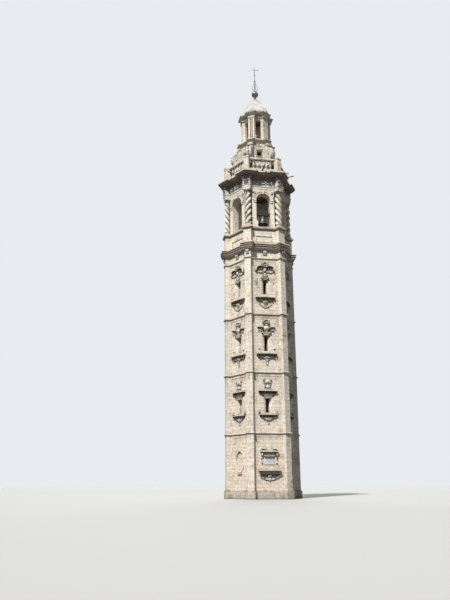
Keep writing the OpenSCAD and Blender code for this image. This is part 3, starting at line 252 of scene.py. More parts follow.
def stone(name, base, tone=0.05, dirt_and_shade=1.0, stain_and_shade=1.0, joints=0.0, shade=(74, 62, 52),
          lips=(), lip=(206, 195, 178), soot_and_shadow=(), rust=0.0):
    """Weathered limestone: blocks of slightly different tone, darkening in the hollows that is soiling
    with painted shade, painted shade on faces that look down, rain streaks under the ledges, and ochre
    and rusty patches. The edges between the levels in lips are worn pale. In each row of
    soot_and_shadow a dark band of painted shadow with some soiling deepens between the first two
    levels, up to the third."""
    t = new_material(name)
    where = t.place()
    position = t.split(where)
    facing = t.split(t.node("ShaderNodeNewGeometry").outputs["True Normal"])
    z, nz = position[2], facing[2]
    per_stone, per_row, joint = courses(t, position, facing)
    patches = t.noise(where, 2.6, 6.0, 0.62)
    mottle = t.noise(where, 8.5, 3.0, 0.6)
    grain = t.noise(where, 26.0, 4.0, 0.6)

    # The clean stone
    light = srgb(*[min(255, v * 1.035) for v in base])
    ochre = srgb(base[0] * 0.86, base[1] * 0.80, base[2] * 0.70)
    colour = t.mix(t.step(t.noise(where, 0.55, 5.0, 0.6), 0.35, 0.68), light, srgb(*base))
    colour = t.mix(t.step(patches, 0.50, 0.70, 0.0, 0.75), colour, ochre)
    tone_by = t.plus(1.0 - tone, t.times(per_stone, 1.1 * tone))
    tone_by = t.plus(tone_by, t.times(per_row, 0.9 * tone))
    tone_by = t.times(tone_by, t.step(mottle, 0.3, 0.7, 0.74, 1.10))
    tone_by = t.times(tone_by, t.plus(0.93, t.times(grain, 0.14)))
    colour = t.node("ShaderNodeVectorMath", {0: colour, "Scale": tone_by}, operation="SCALE").outputs[0]
    if rust:
        tint = t.times(t.step(t.noise(where, 1.9, 4.0, 0.6), 0.54, 0.66), rust)
        colour = t.mix(tint, colour, srgb(160, 122, 88))

    # The soiling on it, with painted shade in the hollows, on faces that look down and in the rows of
    # soot_and_shadow
    # Darker in the hollows, from how open the surface is: soiling with painted shade
    hollow = t.plus(t.openness(0.28, 6), t.times(patches, 0.25))
    crust_and_shade = t.times(t.step(hollow, 0.38, 1.0, 1.0, 0.0), 0.85 * dirt_and_shade)
    streaks = t.noise(t.stretched(where, (7.0, 7.0, 0.5)), 1.0, 4.0, 0.6)
    run = t.times(t.times(below_ledges(t, z), t.step(streaks, 0.40, 0.66)), 0.62 * stain_and_shade)
    # Painted shade on faces that look down, as under an overhang
    below = t.step(nz, -0.85, -0.2, 0.75 * stain_and_shade, 0.0)
    above = t.times(t.step(nz, 0.3, 0.8), t.step(patches, 0.35, 0.6, 0.25, 0.7 * dirt_and_shade))
    spots = t.times(t.step(t.noise(where, 1.3, 8.0, 0.72), 0.60, 0.70), 0.5 * dirt_and_shade)
    grime_and_shade = t.most(crust_and_shade, run, below, above, spots)
    # Each row paints shade where a shadow falls, with some soiling
    for low, full, top in soot_and_shadow:
        band = t.times(t.step(z, low, full), t.step(z, top, top + 0.03, 1.0, 0.0))
        grime_and_shade = t.most(grime_and_shade, t.times(band, t.step(mottle, 0.25, 0.6, 0.55, 0.92)))
    colour = t.mix(grime_and_shade, colour, srgb(*shade))

    # Worn edges and joints show through the soiling and the painted shade
    for low, high in lips:
        on_lip = t.times(t.step(z, low - 0.012, low), t.step(z, high, high + 0.012, 1.0, 0.0))
        colour = t.mix(t.times(on_lip, t.step(patches, 0.30, 0.62, 0.95, 0.35)), colour, srgb(*lip))
    relief = t.plus(t.times(grain, 0.5), patches)
    if joints:
        colour = t.mix(t.times(joint, joints), colour, srgb(140, 126, 108))
        relief = t.math("SUBTRACT", relief, t.times(joint, 0.8))
    t.surface({
        "Base Color": colour,
        "Roughness": t.step(grain, 0.2, 0.8, 0.78, 0.95),
        "Specular IOR Level": 0.25,
        "Normal": t.bump(relief, 0.55, 0.012),
    })


def metal(name, dark, light, rough, metallic, scale):
    """Old metal in two tones, with a fine hammered or cast surface."""
    t = new_material(name)
    where = t.place()
    blotch = t.noise(where, scale, 6.0, 0.62)
    colour = t.mix(t.step(blotch, 0.35, 0.68), srgb(*dark), srgb(*light))
    in_hollows = t.step(t.openness(0.05, 4), 0.4, 0.95, 0.6, 0.0)
    t.surface({
        "Base Color": t.mix(in_hollows, colour, srgb(*[v * 0.5 for v in dark])),
        "Roughness": t.step(blotch, 0.3, 0.7, rough - 0.12, rough + 0.12),
        "Metallic": metallic,
        "Normal": t.bump(t.noise(where, scale * 9, 3.0, 0.5), 0.3, 0.004),
    })


def oak(name):
    """Weathered oak with its grain along the beam, darkened to near black as painted shade of the belfry's
    inside.
    """
    t = new_material(name)
    grain = t.noise(t.stretched(t.place(), (2.0, 22.0, 22.0)), 2.0, 6.0, 0.65)
    t.surface({
        # Near-black tones: painted shade of the belfry's dark inside
        "Base Color": t.mix(t.step(grain, 0.3, 0.7), srgb(24, 23, 23), srgb(42, 39, 36)),
        "Roughness": 0.8,
        "Normal": t.bump(grain, 0.5, 0.006),
    })


stone("wall_stone", (230, 219, 204), tone=0.09, joints=0.42, dirt_and_shade=0.75, stain_and_shade=0.8)
stone("foot_stone", (230, 217, 199), tone=0.09, joints=0.42, dirt_and_shade=0.3, stain_and_shade=0.45)
stone("clean_stone", (240, 230, 214), tone=0.06, joints=0.26, dirt_and_shade=0.6, stain_and_shade=0.4)
stone("dressed_stone", (228, 218, 204), tone=0.07, joints=0.28, dirt_and_shade=0.8, stain_and_shade=0.6)
# Its rows of soot_and_shadow paint the shadows under the balconets of stages 2 to 4 and under the hood of
# stage 2
stone("carved_stone", (226, 216, 201), tone=0.02, dirt_and_shade=1.2, stain_and_shade=1.1, shade=(66, 58, 51),
      soot_and_shadow=((4.12, 4.28, 4.34), (5.20, 5.45, 5.62), (7.48, 7.64, 7.71), (10.77, 10.93, 11.0)))
stone("column_stone", (232, 223, 210), tone=0.02, stain_and_shade=0.5, shade=(62, 55, 48))
stone("pale_carving", (220, 213, 204), tone=0.02, dirt_and_shade=1.3, stain_and_shade=0.6, shade=(64, 58, 52))
# Its row of soot_and_shadow darkens the foot behind the balusters: painted shade with some soiling
stone("volute_stone", (220, 213, 204), tone=0.02, dirt_and_shade=1.5, stain_and_shade=0.6, shade=(54, 49, 45),
      soot_and_shadow=((19.15, 19.25, 19.9),))
stone("pale_edge", (228, 216, 196), tone=0.03, dirt_and_shade=0.5, stain_and_shade=0.2)
# Its row of soot_and_shadow paints the cornice's shadow on the top of the frieze
stone("frieze_stone", (224, 217, 208), tone=0.06, dirt_and_shade=0.8, stain_and_shade=0.35, shade=(88, 81, 75),
      soot_and_shadow=((18.34, 18.46, 18.66),))
stone("frieze_carving", (222, 216, 208), tone=0.03, dirt_and_shade=1.3, stain_and_shade=0.4, shade=(50, 47, 46))
# Its row of soot_and_shadow paints the cornice's shadow on the upper part of the corner blocks
stone("block_stone", (206, 199, 190), tone=0.04, dirt_and_shade=1.2, stain_and_shade=0.4, shade=(70, 62, 56),
      soot_and_shadow=((18.10, 18.34, 18.66),))
# Its row of soot_and_shadow darkens the foot behind the balusters: painted shade with some soiling
stone("drum_stone", (226, 216, 202), tone=0.07, joints=0.3, shade=(70, 62, 54), soot_and_shadow=((19.15, 19.25, 20.0),))
stone("eave_stone", (226, 216, 198), dirt_and_shade=0.8, stain_and_shade=0.6, shade=(84, 76, 62), lips=((21.70, 21.79),),
      lip=(230, 220, 202))
# Its row of soot_and_shadow paints the thin shadow line under the dome's eave
stone("lantern_eave", (236, 226, 208), tone=0.04, dirt_and_shade=0.5, stain_and_shade=0.3, shade=(100, 90, 76),
      soot_and_shadow=((23.76, 23.80, 23.84),))
# Its row of soot_and_shadow paints shade on the upper cornice, under its lip
stone("worn_cornice", (208, 197, 181), tone=0.06, stain_and_shade=0.6, shade=(66, 58, 50),
      soot_and_shadow=((14.00, 14.12, 14.24),), rust=0.12)
stone("stained_stone", (188, 176, 160), tone=0.06, shade=(72, 63, 55), lips=((15.37, 15.46),),
      lip=(218, 204, 182), rust=0.2)
stone("rough_stone", (204, 194, 180), tone=0.06, joints=0.4, dirt_and_shade=1.1)
stone("floor_stone", (206, 195, 178), dirt_and_shade=0.8, stain_and_shade=0.5)
stone("dome_plaster", (212, 209, 204), tone=0.012, dirt_and_shade=1.1, stain_and_shade=0.8, shade=(112, 106, 102),
      lips=((23.86, 23.96),), lip=(160, 152, 134))
stone("plaque_marble", (208, 208, 206), tone=0.0, dirt_and_shade=0.35, stain_and_shade=0.3, shade=(150, 145, 140))
metal("aged_copper", (104, 82, 76), (158, 144, 140), 0.42, 0.5, 6.0)
metal("wrought_iron", (48, 52, 60), (80, 84, 92), 0.55, 0.7, 14.0)
metal("bell_bronze", (58, 58, 56), (100, 100, 94), 0.40, 0.75, 8.0)
oak("dark_oak")

# Nodes whose stone isn't that of their slot
FINISH = {
    "stage_1_walls": "foot_stone",
    "drum_walls": "drum_stone",
    "belfry_frieze": "frieze_stone",
    "drum_cornice": "eave_stone",
    "lantern_cornice": "lantern_eave",
    "shaft_cornice": "worn_cornice",
    "shaft_brackets": "pale_carving",
}
for name in ("stage_4_pilasters", "shaft_frieze", "belfry_pedestal", "belfry_piers", "belfry_arches",
             "lantern_piers", "lantern_arches"):
    FINISH[name] = "clean_stone"

for row in frame["record"]["subparts"]:
    shown = frame["nodes"][row["node"]]
    if not shown.material_slots:
        shown.data.materials.append(None)
    for slot in shown.material_slots:
        slot.material = MATERIALS[FINISH.get(row["node"], row["material_slot"])]


# Shapes: each is its points in millimetres and its faces

# Edges with a greater turn than this are shaded sharp
SHARP_ANGLE = radians(38)


def placed(name, data):
    made = bpy.data.objects.new(name, data)
    bpy.context.scene.collection.objects.link(made)
    return made


def piece(name, shape, slot, replaced=None, body="tower", paint=None):
    """A piece of the scene, in its slot's material or in another that paint names."""
    points, faces = shape
    mesh = bpy.data.meshes.new(name)
    mesh.from_pydata((points / 1000).tolist(), [], faces)
    mesh.update()
    mesh.shade_smooth()
    mesh.set_sharp_from_angle(angle=SHARP_ANGLE)
    mesh.materials.append(MATERIALS[paint or slot])
    made = placed(name, mesh)
    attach(made, body)
    if replaced:
        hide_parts(replaced)


def joined(shapes):
    """One shape from several."""
    points, faces, base = [], [], 0
    for more_points, more_faces in shapes:
        points.append(more_points)
        faces += [tuple(i + base for i in face) for face in more_faces]
        base += len(more_points)
    return np.vstack(points), faces


def moved(shape, x=0.0, y=0.0, z=0.0):
    points, faces = shape
    return points + (x, y, z), faces


def spun(shape, angle):
    """A shape turned about the Z axis."""
    p, faces = shape
    c, s = cos(radians(angle)), sin(radians(angle))
    return np.stack([p[:, 0] * c - p[:, 1] * s, p[:, 0] * s + p[:, 1] * c, p[:, 2]], 1), faces


def all_round(shape, angles=FACES):
    """A copy of a shape at each angle about the Z axis."""
    return joined(spun(shape, angle) for angle in angles)


def on_faces(shape, face, level=0.0, x=0.0, angles=FACES):
    """Copies of a shape that looks along -Y, set on walls at a distance from the axis."""
    return all_round(moved(shape, x, -face, level), angles)


def ring_faces(rings, around, loop=False):
    """Faces that join rings of points. The end rings are closed, or joined to each other in a loop."""
    faces = []
    for k in range(rings if loop else rings - 1):
        row, after = k * around, (k + 1) % rings * around
        for j in range(around):
            beside = (j + 1) % around
            faces.append((row + j, row + beside, after + beside, after + j))
    if not loop:
        faces.append(tuple(range(around - 1, -1, -1)))
        faces.append(tuple((rings - 1) * around + j for j in range(around)))
    return faces


def round_angles(around):
    return np.arange(around) * 2 * pi / around


def lathe(profile, around, loop=False):
    """A shape turned about the Z axis from (radius, height) points. A radius may be an array,
    with a value for each angle."""
    c, s = np.cos(round_angles(around)), np.sin(round_angles(around))
    rows = [np.stack([r * c, r * s, np.full(around, float(z))], 1) for r, z in profile]
    return np.vstack(rows), ring_faces(len(profile), around, loop)


def tube(path, radii, around):
    """A round bar along a path. radii is one number or one for each point."""
    path = np.asarray(path, float)
    radii = np.broadcast_to(radii, len(path))
    angles = round_angles(around)
    rows = []
    for i, p in enumerate(path):
        a, b = path[max(i - 1, 0)], path[min(i + 1, len(path) - 1)]
        d = (b - a) / np.linalg.norm(b - a)
        side = np.cross(d, (0.0, 0.0, 1.0) if abs(d[2]) < 0.9 else (1.0, 0.0, 0.0))
        side /= np.linalg.norm(side)
        up = np.cross(side, d)
        rows.append(p + radii[i] * (np.outer(np.cos(angles), side) + np.outer(np.sin(angles), up)))
    return np.vstack(rows), ring_faces(len(path), around)


def block(half_x, half_y, low, high, bevel):
    """A squared block with eased edges, on the Z axis."""
    rows = []
    for z, inset in ((low, bevel), (low + bevel, 0.0), (high - bevel, 0.0), (high, bevel)):
        a, b, c = half_x - inset, half_y - inset, bevel
        rows += [(a, -b + c, z), (a, b - c, z), (a - c, b, z), (-a + c, b, z),
                 (-a, b - c, z), (-a, -b + c, z), (-a + c, -b, z), (a - c, -b, z)]
    return np.array(rows), ring_faces(4, 8)


def arc(cx, cz, rx, rz, a0, a1, steps):
    """Points of an elliptical arc, with its angles in degrees."""
    angles = [radians(a0 + (a1 - a0) * i / steps) for i in range(steps + 1)]
    return [(cx + rx * cos(a), cz + rz * sin(a)) for a in angles]


def spiral(r, turns, steps, start, hand, shrink, squeeze=1.0):
    """Points of a flat spiral that winds in from radius r and loses the share shrink of it."""
    points = []
    for k in range(steps + 1):
        a = radians(start) + hand * 2 * pi * turns * k / steps
        q = r * (1 - shrink * k / steps)
        points.append((q * cos(a), q * squeeze * sin(a)))
    return points


# Carving: heights over a grid on a flat face, in millimetres

def sides(x):
    """The two sides of the middle for a shape to the right of it, and otherwise one."""
    return (1, -1) if x > 0 else (1,)


def rays(count, dx, dz):
    """1 along each of some rays from a point, and 0 halfway between them."""
    return np.abs(np.cos(count * np.arctan2(dz, dx) / 2))


class Carving:
    """A relief over a face: each shape raises the grid to its own height. A shape to the right
    of the middle is made on both sides."""

    def __init__(self, half_w, low, high, cell=12.0):
        xs = np.arange(-half_w, half_w + cell / 2, cell)
        zs = np.arange(low, high + cell / 2, cell)
        self.x, self.z = np.meshgrid(xs, zs)
        self.h = np.zeros_like(self.x)

    def raise_to(self, h):
        self.h = np.maximum(self.h, h)

    def slab(self, half, z0, z1, out, round_by=14, x=0):
        for side in sides(x):
            across = np.minimum(self.x - side * x + half, side * x + half - self.x)
            near = np.minimum(across, np.minimum(self.z - z0, z1 - self.z))
            self.raise_to(out * np.sqrt(np.clip(near / round_by + 0.35, 0, 1)) * (near > 0))

    def boss(self, x, z, rx, rz, out, petals=0):
        for side in sides(x):
            dx, dz = (self.x - side * x) / rx, (self.z - z) / rz
            h = out * np.sqrt(np.clip(1 - dx ** 2 - dz ** 2, 0, 1))
            if petals:
                h = h * (0.72 + 0.28 * rays(petals, dx, dz))
            self.raise_to(h)

    def line(self, path, radii, outs):
        """A round strand along a path, whose radii and heights may change from point to point."""
        path = np.asarray(path, float)
        radii = np.broadcast_to(np.asarray(radii, float), len(path))
        outs = np.broadcast_to(np.asarray(outs, float), len(path))
        for i in range(len(path) - 1):
            (ax, az), (bx, bz) = path[i], path[i + 1]
            length2 = max((bx - ax) ** 2 + (bz - az) ** 2, 1e-6)
            t = np.clip(((self.x - ax) * (bx - ax) + (self.z - az) * (bz - az)) / length2, 0, 1)
            d = np.hypot(self.x - ax - t * (bx - ax), self.z - az - t * (bz - az))
            r = radii[i] + t * (radii[i + 1] - radii[i])
            out = outs[i] + t * (outs[i + 1] - outs[i])
            self.raise_to(out * np.sqrt(np.clip(1 - (d / r) ** 2, 0, 1)))

    def strand(self, path, radii, outs):
        for side in sides(path[0][0]):
            self.line([(side * x, z) for x, z in path], radii, outs)

    def scroll(self, x, z, r, out, hand, start, turns=1.6):
        """A scroll that winds in from the angle start. On the other side it winds the other way."""
        self.boss(x, z, r * 1.12, r * 1.12, out * 0.45)
        steps = 22
        radii = [r * 0.24 * (1 - 0.35 * k / steps) for k in range(steps + 1)]
        for side in sides(x):
            path = [(side * x + u, z + v) for u, v in spiral(r, turns, steps, start, side * hand, 0.78)]
            self.line(path, radii, out)

    def leaf(self, x, z, angle, length, width, out, lobes=4, other=None):
        """A lobed leaf. Other is its angle on the other side, where it isn't the mirrored one."""
        if other is None:
            other = (180 if angle >= 0 else -180) - angle
        for side, turned in zip(sides(x), (angle, other)):
            a = radians(turned)
            u = ((self.x - side * x) * cos(a) + (self.z - z) * sin(a)) / length
            v = (-(self.x - side * x) * sin(a) + (self.z - z) * cos(a)) / width
            inside = np.clip(u, 0, 1)
            wavy = 0.78 + 0.22 * np.cos(2 * pi * lobes * inside + 6 * np.abs(v))
            edge = np.sin(pi * inside ** 0.75) * wavy
            h = out * np.sqrt(np.clip(1 - (np.abs(v) / np.maximum(edge, 1e-3)) ** 2, 0, 1))
            h = h * (0.55 + 0.45 * np.sin(pi * inside)) * (1 - 0.4 * np.exp(-(v / 0.13) ** 2))
            self.raise_to(h * ((u > 0) & (u < 1)))

    def shell(self, z, r, out, ribs, hollow=False):
        """A half-round shell that stands on a level in the middle."""
        dz = self.z - z
        rho = np.hypot(self.x, dz) / r
        ribbed = rays(ribs, self.x, dz)
        edge = 0.93 + 0.07 * ribbed
        if hollow:
            h = out * (0.35 + 0.65 * np.clip(rho / edge, 0, 1) ** 3) * (0.85 + 0.15 * ribbed)
        else:
            h = out * (0.5 + 0.5 * np.sqrt(np.clip(1 - (rho / edge) ** 2, 0, 1))) * (0.7 + 0.3 * ribbed)
        self.raise_to(h * ((rho < edge) & (dz > 0)))

    def corbel(self, z, rx, rz, out, ribs):
        """A half-round corbel that hangs from a level in the middle, with ribs that meet below."""
        dx, dz = self.x / rx, (z - self.z) / rz
        h = out * np.sqrt(np.clip(1 - np.hypot(dx, dz) ** 2, 0, 1)) ** 0.8
        self.raise_to(h * (0.8 + 0.2 * rays(ribs, dx, dz)) * (dz > 0))

    def swag(self, ax, az, bx, bz, sag, r, out, beads=6):
        """A row of beads that hangs between two points."""
        path, radii = [], []
        steps = beads * 4
        for k in range(steps + 1):
            t = k / steps
            path.append((ax + (bx - ax) * t, az + (bz - az) * t - sag * 4 * t * (1 - t)))
            beaded = 0.62 + 0.38 * abs(sin(pi * beads * t))
            radii.append(r * beaded * (0.75 + t * (1 - t)))
        self.strand(path, radii, [out * q / r for q in radii])

    def balconet(self, top, half, out, apron):
        """A bowed balconet: a moulded edge with hanging tongues, a fluted belly set back under it,
        and an apron, which is its half width and level at the foot and its reach."""
        apron_half, apron_z, apron_out = apron
        x, z = np.abs(self.x), self.z
        lip, under, belly = 48, top - 40, top - 230
        bow = 0.70 + 0.30 * np.cos(np.clip(self.x / half, -1, 1) * pi / 2)
        self.raise_to(out * bow * ((x < half) & (z < top) & (z > top - lip)))
        tongue = lip + 78 * np.abs(np.cos(self.x / 54)) ** 1.6
        self.raise_to(0.84 * out * bow * ((x < half - 24) & (z <= top - lip) & (z > top - tongue)))
        depth = np.clip((under - z) / (under - belly), 0, 1)
        width = half - 20 - 0.30 * half * depth ** 1.4
        flute = 0.55 + 0.45 * np.abs(np.cos(self.x / 38))
        self.raise_to((0.46 - 0.20 * depth) * out * bow * flute * (x < width) * (z <= under) * (z > belly))
        depth = np.clip((belly - z) / max(belly - apron_z, 1.0), 0, 1)
        width = 0.66 * half - (0.66 * half - 0.35 * apron_half) * depth ** 0.8
        ribs = 0.75 + 0.25 * np.abs(np.cos(6 * np.arctan2(self.x, z - belly - 160)))
        self.raise_to(apron_out * (1 - 0.45 * depth) * ribs * (x < width) * (z <= belly) * (z > apron_z))

    def mesh(self):
        """The carved surface and a flat back just inside the face, which looks along -Y at y = 0."""
        least, back = 1.0, 2.0
        used = self.h > least
        cell = used[:-1, :-1] | used[1:, :-1] | used[:-1, 1:] | used[1:, 1:]
        index = np.arange(self.h.size).reshape(self.h.shape)
        quads = np.stack([index[:-1, :-1], index[:-1, 1:], index[1:, 1:], index[1:, :-1]], -1)[cell]
        keep, inverse = np.unique(quads, return_inverse=True)
        y = -np.where(used, self.h, -back)
        points = np.stack([self.x, y, self.z], -1).reshape(-1, 3)[keep]
        bm = bmesh.new()
        made = [bm.verts.new(p) for p in points]
        for face in inverse.reshape(-1, 4):
            bm.faces.new([made[i] for i in face])
        # Faces that are all but flat to each other are joined
        bmesh.ops.dissolve_limit(bm, angle_limit=radians(1.5), verts=bm.verts, edges=bm.edges)
        bmesh.ops.holes_fill(bm, edges=[e for e in bm.edges if e.is_boundary], sides=0)
        bmesh.ops.recalc_face_normals(bm, faces=bm.faces)
        bm.verts.index_update()
        shape = np.array([tuple(v.co) for v in bm.verts]), [tuple(v.index for v in f.verts) for f in bm.faces]
        bm.free()
        return shape


# The carving of the shaft, with levels from the foot of each stage

def stage_2_carving():
    upper = Carving(540, 1790, 2860)
    upper.slab(520, 2186, 2250, 150)
    upper.slab(455, 2250, 2290, 96)
    upper.corbel(2188, 468, 372, 62, 15)
    upper.slab(118, 1806, 1850, 50)
    upper.scroll(330, 2090, 62, 92, 1, 90)
    upper.leaf(210, 2070, -50, 190, 60, 80)
    upper.scroll(455, 2110, 48, 100, -1, 0)
    upper.slab(190, 2290, 2345, 104)
    upper.boss(0, 2440, 138, 92, 66)
    upper.scroll(130, 2410, 44, 62, 1, 200)
    upper.leaf(60, 2500, 40, 190, 58, 56)
    upper.boss(0, 2722, 205, 128, 62)
    upper.boss(0, 2722, 140, 88, 82)
    upper.scroll(205, 2790, 46, 66, -1, 180)
    upper.scroll(190, 2640, 38, 56, 1, 120)
    upper.leaf(70, 2830, 10, 150, 34, 44)
    lower = Carving(640, 300, 1180)
    lower.balconet(940, 508, 168, apron=(290, 770, 60))
    lower.scroll(485, 1010, 52, 104, -1, 90)
    lower.strand([(482, 940), (482, 1160)], 32, 92)
    lower.scroll(474, 1120, 38, 86, 1, 270)
    lower.slab(250, 735, 772, 84)
    lower.corbel(735, 230, 160, 96, 11)
    lower.scroll(255, 720, 36, 84, 1, 90)
    lower.boss(0, 520, 52, 50, 52)
    lower.leaf(0, 510, -90, 130, 42, 46)
    return upper, lower


def stage_3_carving():
    upper = Carving(540, 2030, 3000)
    upper.slab(140, 2044, 2090, 62, 20)
    for level, half, out in ((2085, 175, 70), (2130, 215, 80), (2180, 262, 90)):
        upper.slab(half, level, level + 62, out, 26)
    upper.scroll(250, 2205, 50, 88, 1, 90)
    upper.boss(0, 2285, 120, 82, 84, petals=7)
    upper.boss(0, 2462, 172, 176, 112)
    upper.boss(0, 2470, 118, 128, 134)
    upper.scroll(176, 2360, 50, 96, 1, 150)
    upper.strand([(180, 2500), (325, 2533), (470, 2530)], 40, 112)
    upper.scroll(470, 2505, 44, 118, -1, 90)
    upper.leaf(300, 2540, 12, 190, 44, 92)
    upper.swag(440, 2480, 250, 2310, 60, 34, 62)
    upper.leaf(440, 2440, -90, 240, 40, 60)
    upper.boss(0, 2650, 150, 62, 96)
    upper.scroll(120, 2690, 46, 92, -1, 200)
    upper.slab(178, 2722, 2762, 122, 16)
    upper.shell(2740, 200, 116, ribs=9, hollow=True)
    upper.leaf(150, 2760, 70, 210, 48, 76)
    upper.boss(0, 2950, 46, 40, 84)
    lower = Carving(640, 290, 1470)
    lower.balconet(1015, 583, 172, apron=(250, 700, 70))
    lower.scroll(524, 900, 54, 120, 1, 90)
    lower.scroll(420, 800, 58, 108, 1, 60)
    lower.leaf(120, 760, 12, 300, 60, 96)
    lower.boss(0, 775, 160, 105, 128, petals=9)
    lower.boss(430, 1330, 56, 110, 62)
    lower.scroll(430, 1285, 40, 66, 1, 90)
    lower.slab(90, 640, 700, 76)
    lower.boss(0, 600, 84, 54, 70)
    lower.leaf(0, 590, -90, 280, 84, 62, lobes=5)
    lower.leaf(40, 620, -135, 150, 42, 52)
    return upper, lower


def stage_4_carving():
    upper = Carving(600, 1740, 3180)
    for level, half, out in ((2015, 112, 52), (2060, 160, 66), (2095, 210, 76)):
        upper.slab(half, level, level + 56, out, 22)
    upper.scroll(200, 2130, 46, 76, 1, 90)
    upper.boss(0, 2250, 112, 110, 84, petals=8)
    upper.leaf(60, 2190, 60, 240, 58, 66)
    upper.boss(0, 2380, 84, 70, 74)
    upper.strand([(505, 1900), (505, 2110)], 30, 54)
    upper.leaf(505, 1960, -90, 215, 44, 56)
    upper.boss(505, 2080, 48, 48, 66)
    upper.strand([(20, 2790), *arc(268, 2690, -250, 165, 35, 165, 13), (530, 2640), (540, 2580)], 40, 146)
    for x, z, angle, length in ((120, 2800, -100, 210), (200, 2830, -84, 250), (290, 2830, -74, 250),
                                (380, 2800, -66, 230), (450, 2740, -70, 170)):
        upper.leaf(x, z, angle, length, 44, 82)
    upper.scroll(520, 2560, 56, 118, -1, 60, turns=1.4)
    upper.swag(500, 2540, 90, 2560, 90, 34, 66)
    upper.boss(0, 2620, 96, 150, 112)
    upper.boss(0, 2650, 62, 92, 132)
    upper.leaf(40, 2540, -55, 190, 52, 74)
    upper.scroll(92, 2820, 50, 104, 1, 180)
    upper.slab(150, 2876, 2912, 116, 16)
    upper.shell(2890, 182, 112, ribs=9, hollow=True)
    upper.leaf(130, 2900, 66, 215, 46, 74)
    upper.boss(0, 3108, 42, 46, 78)
    lower = Carving(640, 240, 990)
    lower.balconet(965, 583, 172, apron=(260, 705, 68))
    lower.scroll(520, 850, 56, 118, 1, 90)
    lower.scroll(400, 760, 52, 102, 1, 60)
    lower.leaf(130, 720, 14, 280, 58, 92)
    lower.boss(0, 665, 148, 112, 112, petals=9)
    lower.swag(350, 560, 0, 330, 40, 34, 52)
    lower.leaf(345, 610, -80, 150, 44, 56, other=-80)
    lower.boss(0, 545, 86, 50, 66)
    lower.leaf(0, 540, -90, 250, 64, 54, lobes=5)
    return upper, lower


def stage_1_carving():
    front = Carving(620, 410, 2340)
    front.slab(492, 1950, 2024, 168, 12)
    front.slab(468, 1912, 1952, 132, 12)
    front.slab(480, 2024, 2056, 120, 12)
    front.slab(446, 1880, 1914, 96, 12)
    front.slab(48, 1768, 1884, 118, x=400)
    front.scroll(400, 1790, 44, 128, 1, 90)
    front.slab(300, 1740, 1882, 56, 14)
    front.slab(272, 1678, 1716, 98, 12)
    front.leaf(40, 1810, 0, 240, 46, 74)
    front.boss(0, 1812, 58, 58, 88, petals=8)
    front.scroll(420, 1632, 56, 62, 1, 60)
    front.strand([(392, 1400), (392, 1640)], 30, 44)
    front.scroll(400, 1372, 42, 56, -1, 0)
    front.leaf(395, 1600, -90, 220, 40, 50)
    front.strand(arc(330, 2052, -150, 60, 10, 166, 13), 26, 44)
    front.scroll(410, 2080, 34, 46, -1, 60)
    front.leaf(190, 2060, 35, 180, 40, 40)
    front.slab(124, 2056, 2200, 74)
    front.boss(0, 2220, 118, 92, 72)
    front.shell(2190, 126, 84, ribs=7)
    front.slab(595, 978, 1046, 238, 12)
    front.slab(570, 930, 980, 196, 12)
    front.slab(545, 868, 932, 150, 14)
    front.slab(520, 800, 870, 118, 16)
    front.scroll(470, 760, 62, 92, 1, 90)
    front.leaf(120, 745, 4, 300, 62, 84)
    front.scroll(300, 640, 60, 74, 1, 60)
    front.leaf(470, 720, -110, 170, 52, 60)
    front.boss(0, 720, 130, 110, 104, petals=9)
    front.swag(430, 700, 40, 560, 70, 42, 60)
    front.boss(0, 560, 96, 74, 72)
    front.leaf(0, 560, -90, 150, 70, 52)
    front.leaf(60, 590, -140, 200, 56, 52)
    side_face = Carving(400, 700, 2120, 14.0)
    side_face.slab(200, 812, 872, 62)
    side_face.scroll(150, 795, 34, 48, 1, 90)
    side_face.boss(0, 2050, 66, 52, 52, petals=7)
    return front, side_face


def carve_stage(number, carvings, angles_each=(FACES, FACES)):
    shapes = [on_faces(carving.mesh(), PANEL_FACE, STAGE_FOOT[number], angles=angles)
              for carving, angles in zip(carvings, angles_each)]
    piece(f"stage_{number}_carving", joined(shapes), "carved_stone", f"stage_{number}_windows")


carve_stage(2, stage_2_carving())
carve_stage(3, stage_3_carving())
carve_stage(4, stage_4_carving())
carve_stage(1, stage_1_carving(), (BALCONIES, NICHES))


# Shapes shared by the belfry, the drum and the lantern

def twisted(r, foot, top, pitch, hand, around, rows, groove, start=0.0):
    """A shaft of three strands with a deep groove between them. The pitch is a strand's full turn,
    and around is a multiple of six, so that a line of the mesh follows each groove."""
    points = []
    for z in np.linspace(foot, top, rows):
        turn = hand * 2 * pi * (z - foot - start) / pitch
        for j in range(around):
            a = 2 * pi * j / around
            q = r * (1 - groove + groove * abs(cos(1.5 * a)) ** 0.9)
            points.append((q * cos(a + turn), q * sin(a + turn), z))
    return np.array(points), ring_faces(rows, around)


def on_corners(make, out):
    """Six shapes on the corners, that make gives for right-handed and left-handed twists by turns."""
    return joined(spun(moved(make(hand), out), 60 * i) for i, hand in enumerate((1, -1) * 3))


def curled_leaf(width, height):
    """A leaf that stands on its foot, leans out along +X and curls over at its tip."""
    rows = 8
    x = z = 0.0
    step = 1.22 * height / (rows - 1)
    points = []
    for i in range(rows):
        t = i / (rows - 1)
        way = radians(92 - 170 * t ** 2.6)
        out_x, out_z = sin(way), -cos(way)
        half = 0.5 * width * (0.80 + 0.20 * cos(2 * pi * 2.5 * t)) * (1 - 0.72 * t ** 4)
        for u, v in ((-1, 0.0), (-0.55, 0.17), (0, 0.05), (0.55, 0.17), (1, 0.0), (0, -0.12)):
            points.append((x + v * width * out_x, u * half, z + v * width * out_z))
        x += step * cos(way)
        z += step * sin(way)
    return np.array(points), ring_faces(rows, 6)


